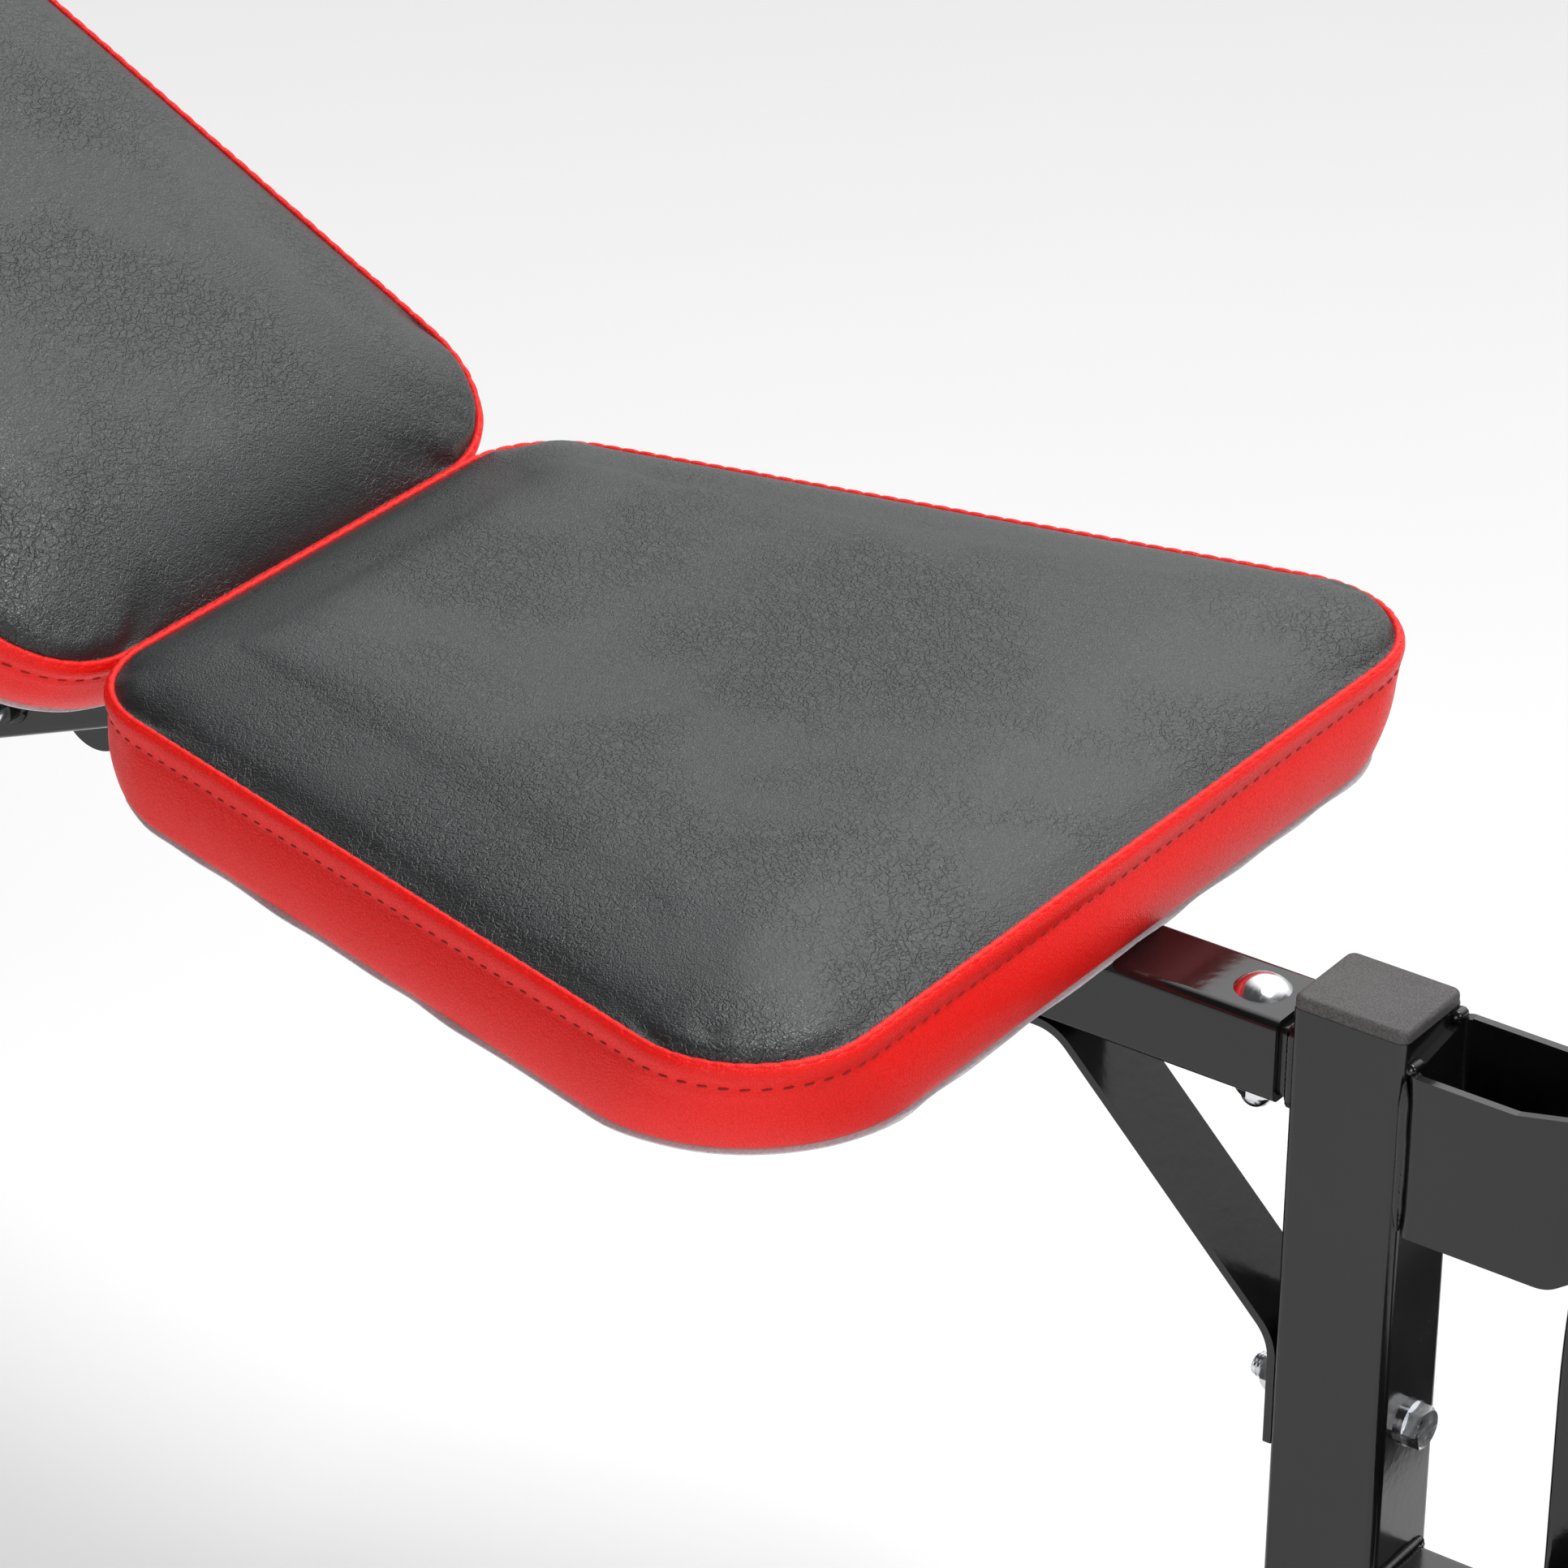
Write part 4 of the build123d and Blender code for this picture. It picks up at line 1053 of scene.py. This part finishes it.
def back_welds():
    """Beads on the backrest: cross plates on the rails, and the sector under its rail."""
    near_edge = RAIL_INNER + PLATE_WELD_IN
    far_edge = RAIL_INNER + RAIL_WIDTH - PLATE_WELD_IN
    for k, run in enumerate(PLATE_RUNS):
        for side in (-1, 1):
            for end in (-1, 1):
                base = Vector((hinge.x, 0, hinge.z)) + back_along * (run + end * PLATE_HALF)
                base += back_out * RAIL_HALF_HEIGHT
                path = [base + Vector((0, side * near_edge, 0)), base + Vector((0, side * far_edge, 0))]
                weld(f"weld_plate_{k}_{side % 3}_{end % 3}", path, "backrest", 1.8 * MM)
    sleeve = centre_of("lock_sleeve")
    reach = (Vector((sleeve.x, 0, sleeve.z)) - Vector((hinge.x, 0, hinge.z))).length
    start = Vector((hinge.x, RAIL_INNER, hinge.z)) - back_out * RAIL_HALF_HEIGHT
    path = [start + back_along * (reach + end * SECTOR_WELD_HALF) for end in (-1, 1)]
    weld("weld_sector", path, "backrest", 1.9 * MM)
    for side in (-1, 1):
        y = side * (RAIL_INNER + RAIL_WIDTH)
        middle = Vector((hinge.x, y, hinge.z))
        ring = circle(middle, Vector((HINGE_WELD_R, 0, 0)), Vector((0, 0, HINGE_WELD_R)))
        weld(f"weld_hinge_sleeve_{side % 3}", ring, "backrest", 0.28 * MM, True)


def thread_on(name, node, way, radius, length, body, pitch=1.25 * MM):
    """The screw thread on the end of a bolt: a shallow ridge wound round it."""
    low, high = box_of(node)
    middle = (low + high) / 2
    way = Vector(way)
    reach = abs((high - low).dot(way)) / 2
    tip = middle + way * (reach - 0.6 * MM)
    a = way.orthogonal().normalized()
    b = way.cross(a)
    steps = 36
    turns = length / pitch
    total = int(turns * steps)
    points = []
    for i in range(total + 1):
        angle = 2 * pi * i / steps
        out = a * cos(angle) + b * sin(angle)
        spot = tip - way * (pitch * i / steps)
        edge = min(1.0, i / steps * 2, (total - i) / steps * 2)
        crest = radius + 0.32 * MM * edge
        root = radius - 0.3 * MM
        for depth, drop in ((root, -0.5), (crest, -0.1), (crest, 0.1), (root, 0.5)):
            points.append(spot + out * depth + way * (drop * pitch))
    faces = []
    for i in range(total):
        faces.extend(loop_faces(4 * i, 4 * i + 4, 4))
    faces.append((0, 1, 2, 3)[::-1])
    faces.append(tuple(4 * total + k for k in range(4)))
    new_piece(name, mesh_of(name, points, faces), [FINISHES["zinc"]], body)


# ======================= Stage =======================

BRIGHT_WAY = (-0.1, 0.68, 0.73)


def studio():
    """Pale floor, surroundings that brighten one way, and soft lights."""
    size = 14.0
    corners = [(-size, -size, 0), (size, -size, 0), (size, size, 0), (-size, size, 0)]
    mesh = mesh_of("floor", corners, [(0, 1, 2, 3)])
    floor = bpy.data.objects.new("floor", mesh)
    bpy.context.scene.collection.objects.link(floor)
    mesh.materials.append(floor_finish())

    world = bpy.data.worlds.new("studio")
    world.use_nodes = True
    tree = world.node_tree
    background = tree.nodes["Background"]
    way = tree.nodes.new("ShaderNodeTexCoord")
    aligned = tree.nodes.new("ShaderNodeVectorMath")
    aligned.operation = "DOT_PRODUCT"
    aligned.inputs[1].default_value = Vector(BRIGHT_WAY).normalized()
    spread = tree.nodes.new("ShaderNodeMapRange")
    spread.interpolation_type = "SMOOTHSTEP"
    for key, number in (("From Min", 0.58), ("From Max", 1.0), ("To Min", 0.07), ("To Max", 2.2)):
        spread.inputs[key].default_value = number
    tree.links.new(way.outputs["Generated"], aligned.inputs[0])
    tree.links.new(aligned.outputs["Value"], spread.inputs["Value"])
    tree.links.new(spread.outputs["Result"], background.inputs["Strength"])
    background.inputs["Color"].default_value = (1.0, 1.0, 1.0, 1.0)
    bpy.context.scene.world = world
    bpy.context.scene.view_settings.view_transform = "Standard"
    softbox("key", (0.85, 0.25, 3.0), (0.15, 0, 0.4), 1.0, 42)
    softbox("side", (2.6, -0.6, 1.9), (0.2, 0, 0.35), 1.3, 17)
    softbox("front", (0.9, -3.2, 1.3), (0.0, 0, 0.4), 1.6, 30)


def softbox(name, place, target, size, power):
    light = bpy.data.lights.new(name, "AREA")
    light.size = size
    light.energy = power
    lamp = bpy.data.objects.new(name, light)
    bpy.context.scene.collection.objects.link(lamp)
    lamp.location = place
    aim = Vector(target) - Vector(place)
    lamp.rotation_euler = aim.to_track_quat("-Z", "Y").to_euler()


def camera():
    """A long lens, looking down along the bench from its near side."""
    turn = radians(35.394)
    pitch = radians(28.786)
    roll = radians(-0.5936)
    low, high = box_of("front_post")
    anchor = Vector((high.x, low.y, high.z))
    right = Vector((cos(turn), sin(turn), 0))
    level = Vector((-sin(turn), cos(turn), 0))
    up = Vector((0, 0, 1))
    view = level * cos(pitch) - up * sin(pitch)
    down = -(level * sin(pitch) + up * cos(pitch))
    rolled_right = right * cos(roll) + down * sin(roll)
    rolled_down = down * cos(roll) - right * sin(roll)
    data = bpy.data.cameras.new("camera")
    data.sensor_width = 36
    data.lens = 149.48
    data.clip_end = 60
    made = bpy.data.objects.new("camera", data)
    bpy.context.scene.collection.objects.link(made)
    place = anchor + Vector((0.84645, -1.52636, 1.04426))
    made.matrix_world = columns(rolled_right, -rolled_down, -view, place)
    bpy.context.scene.camera = made


carry_over()
build_pad(SEAT)
build_pad(BACK)
for level in ("upper", "lower"):
    for hand in ("left", "right"):
        build_roller(f"{level}_{hand}_roller", f"{level}_{hand}_roller")
frame_welds()
arm_welds()
back_welds()
thread_on("brace_bolt_thread", "brace_bolt", (-1, 0, 0), 4 * MM, 6 * MM, "frame")
thread_on("arm_pivot_thread", "arm_pivot_bolt", (0, 1, 0), 5 * MM, 3 * MM, "frame", 1.5 * MM)
thread_on("hinge_thread", "hinge_bolt", (0, 1, 0), 5 * MM, 3 * MM, "frame", 1.5 * MM)
studio()
camera()
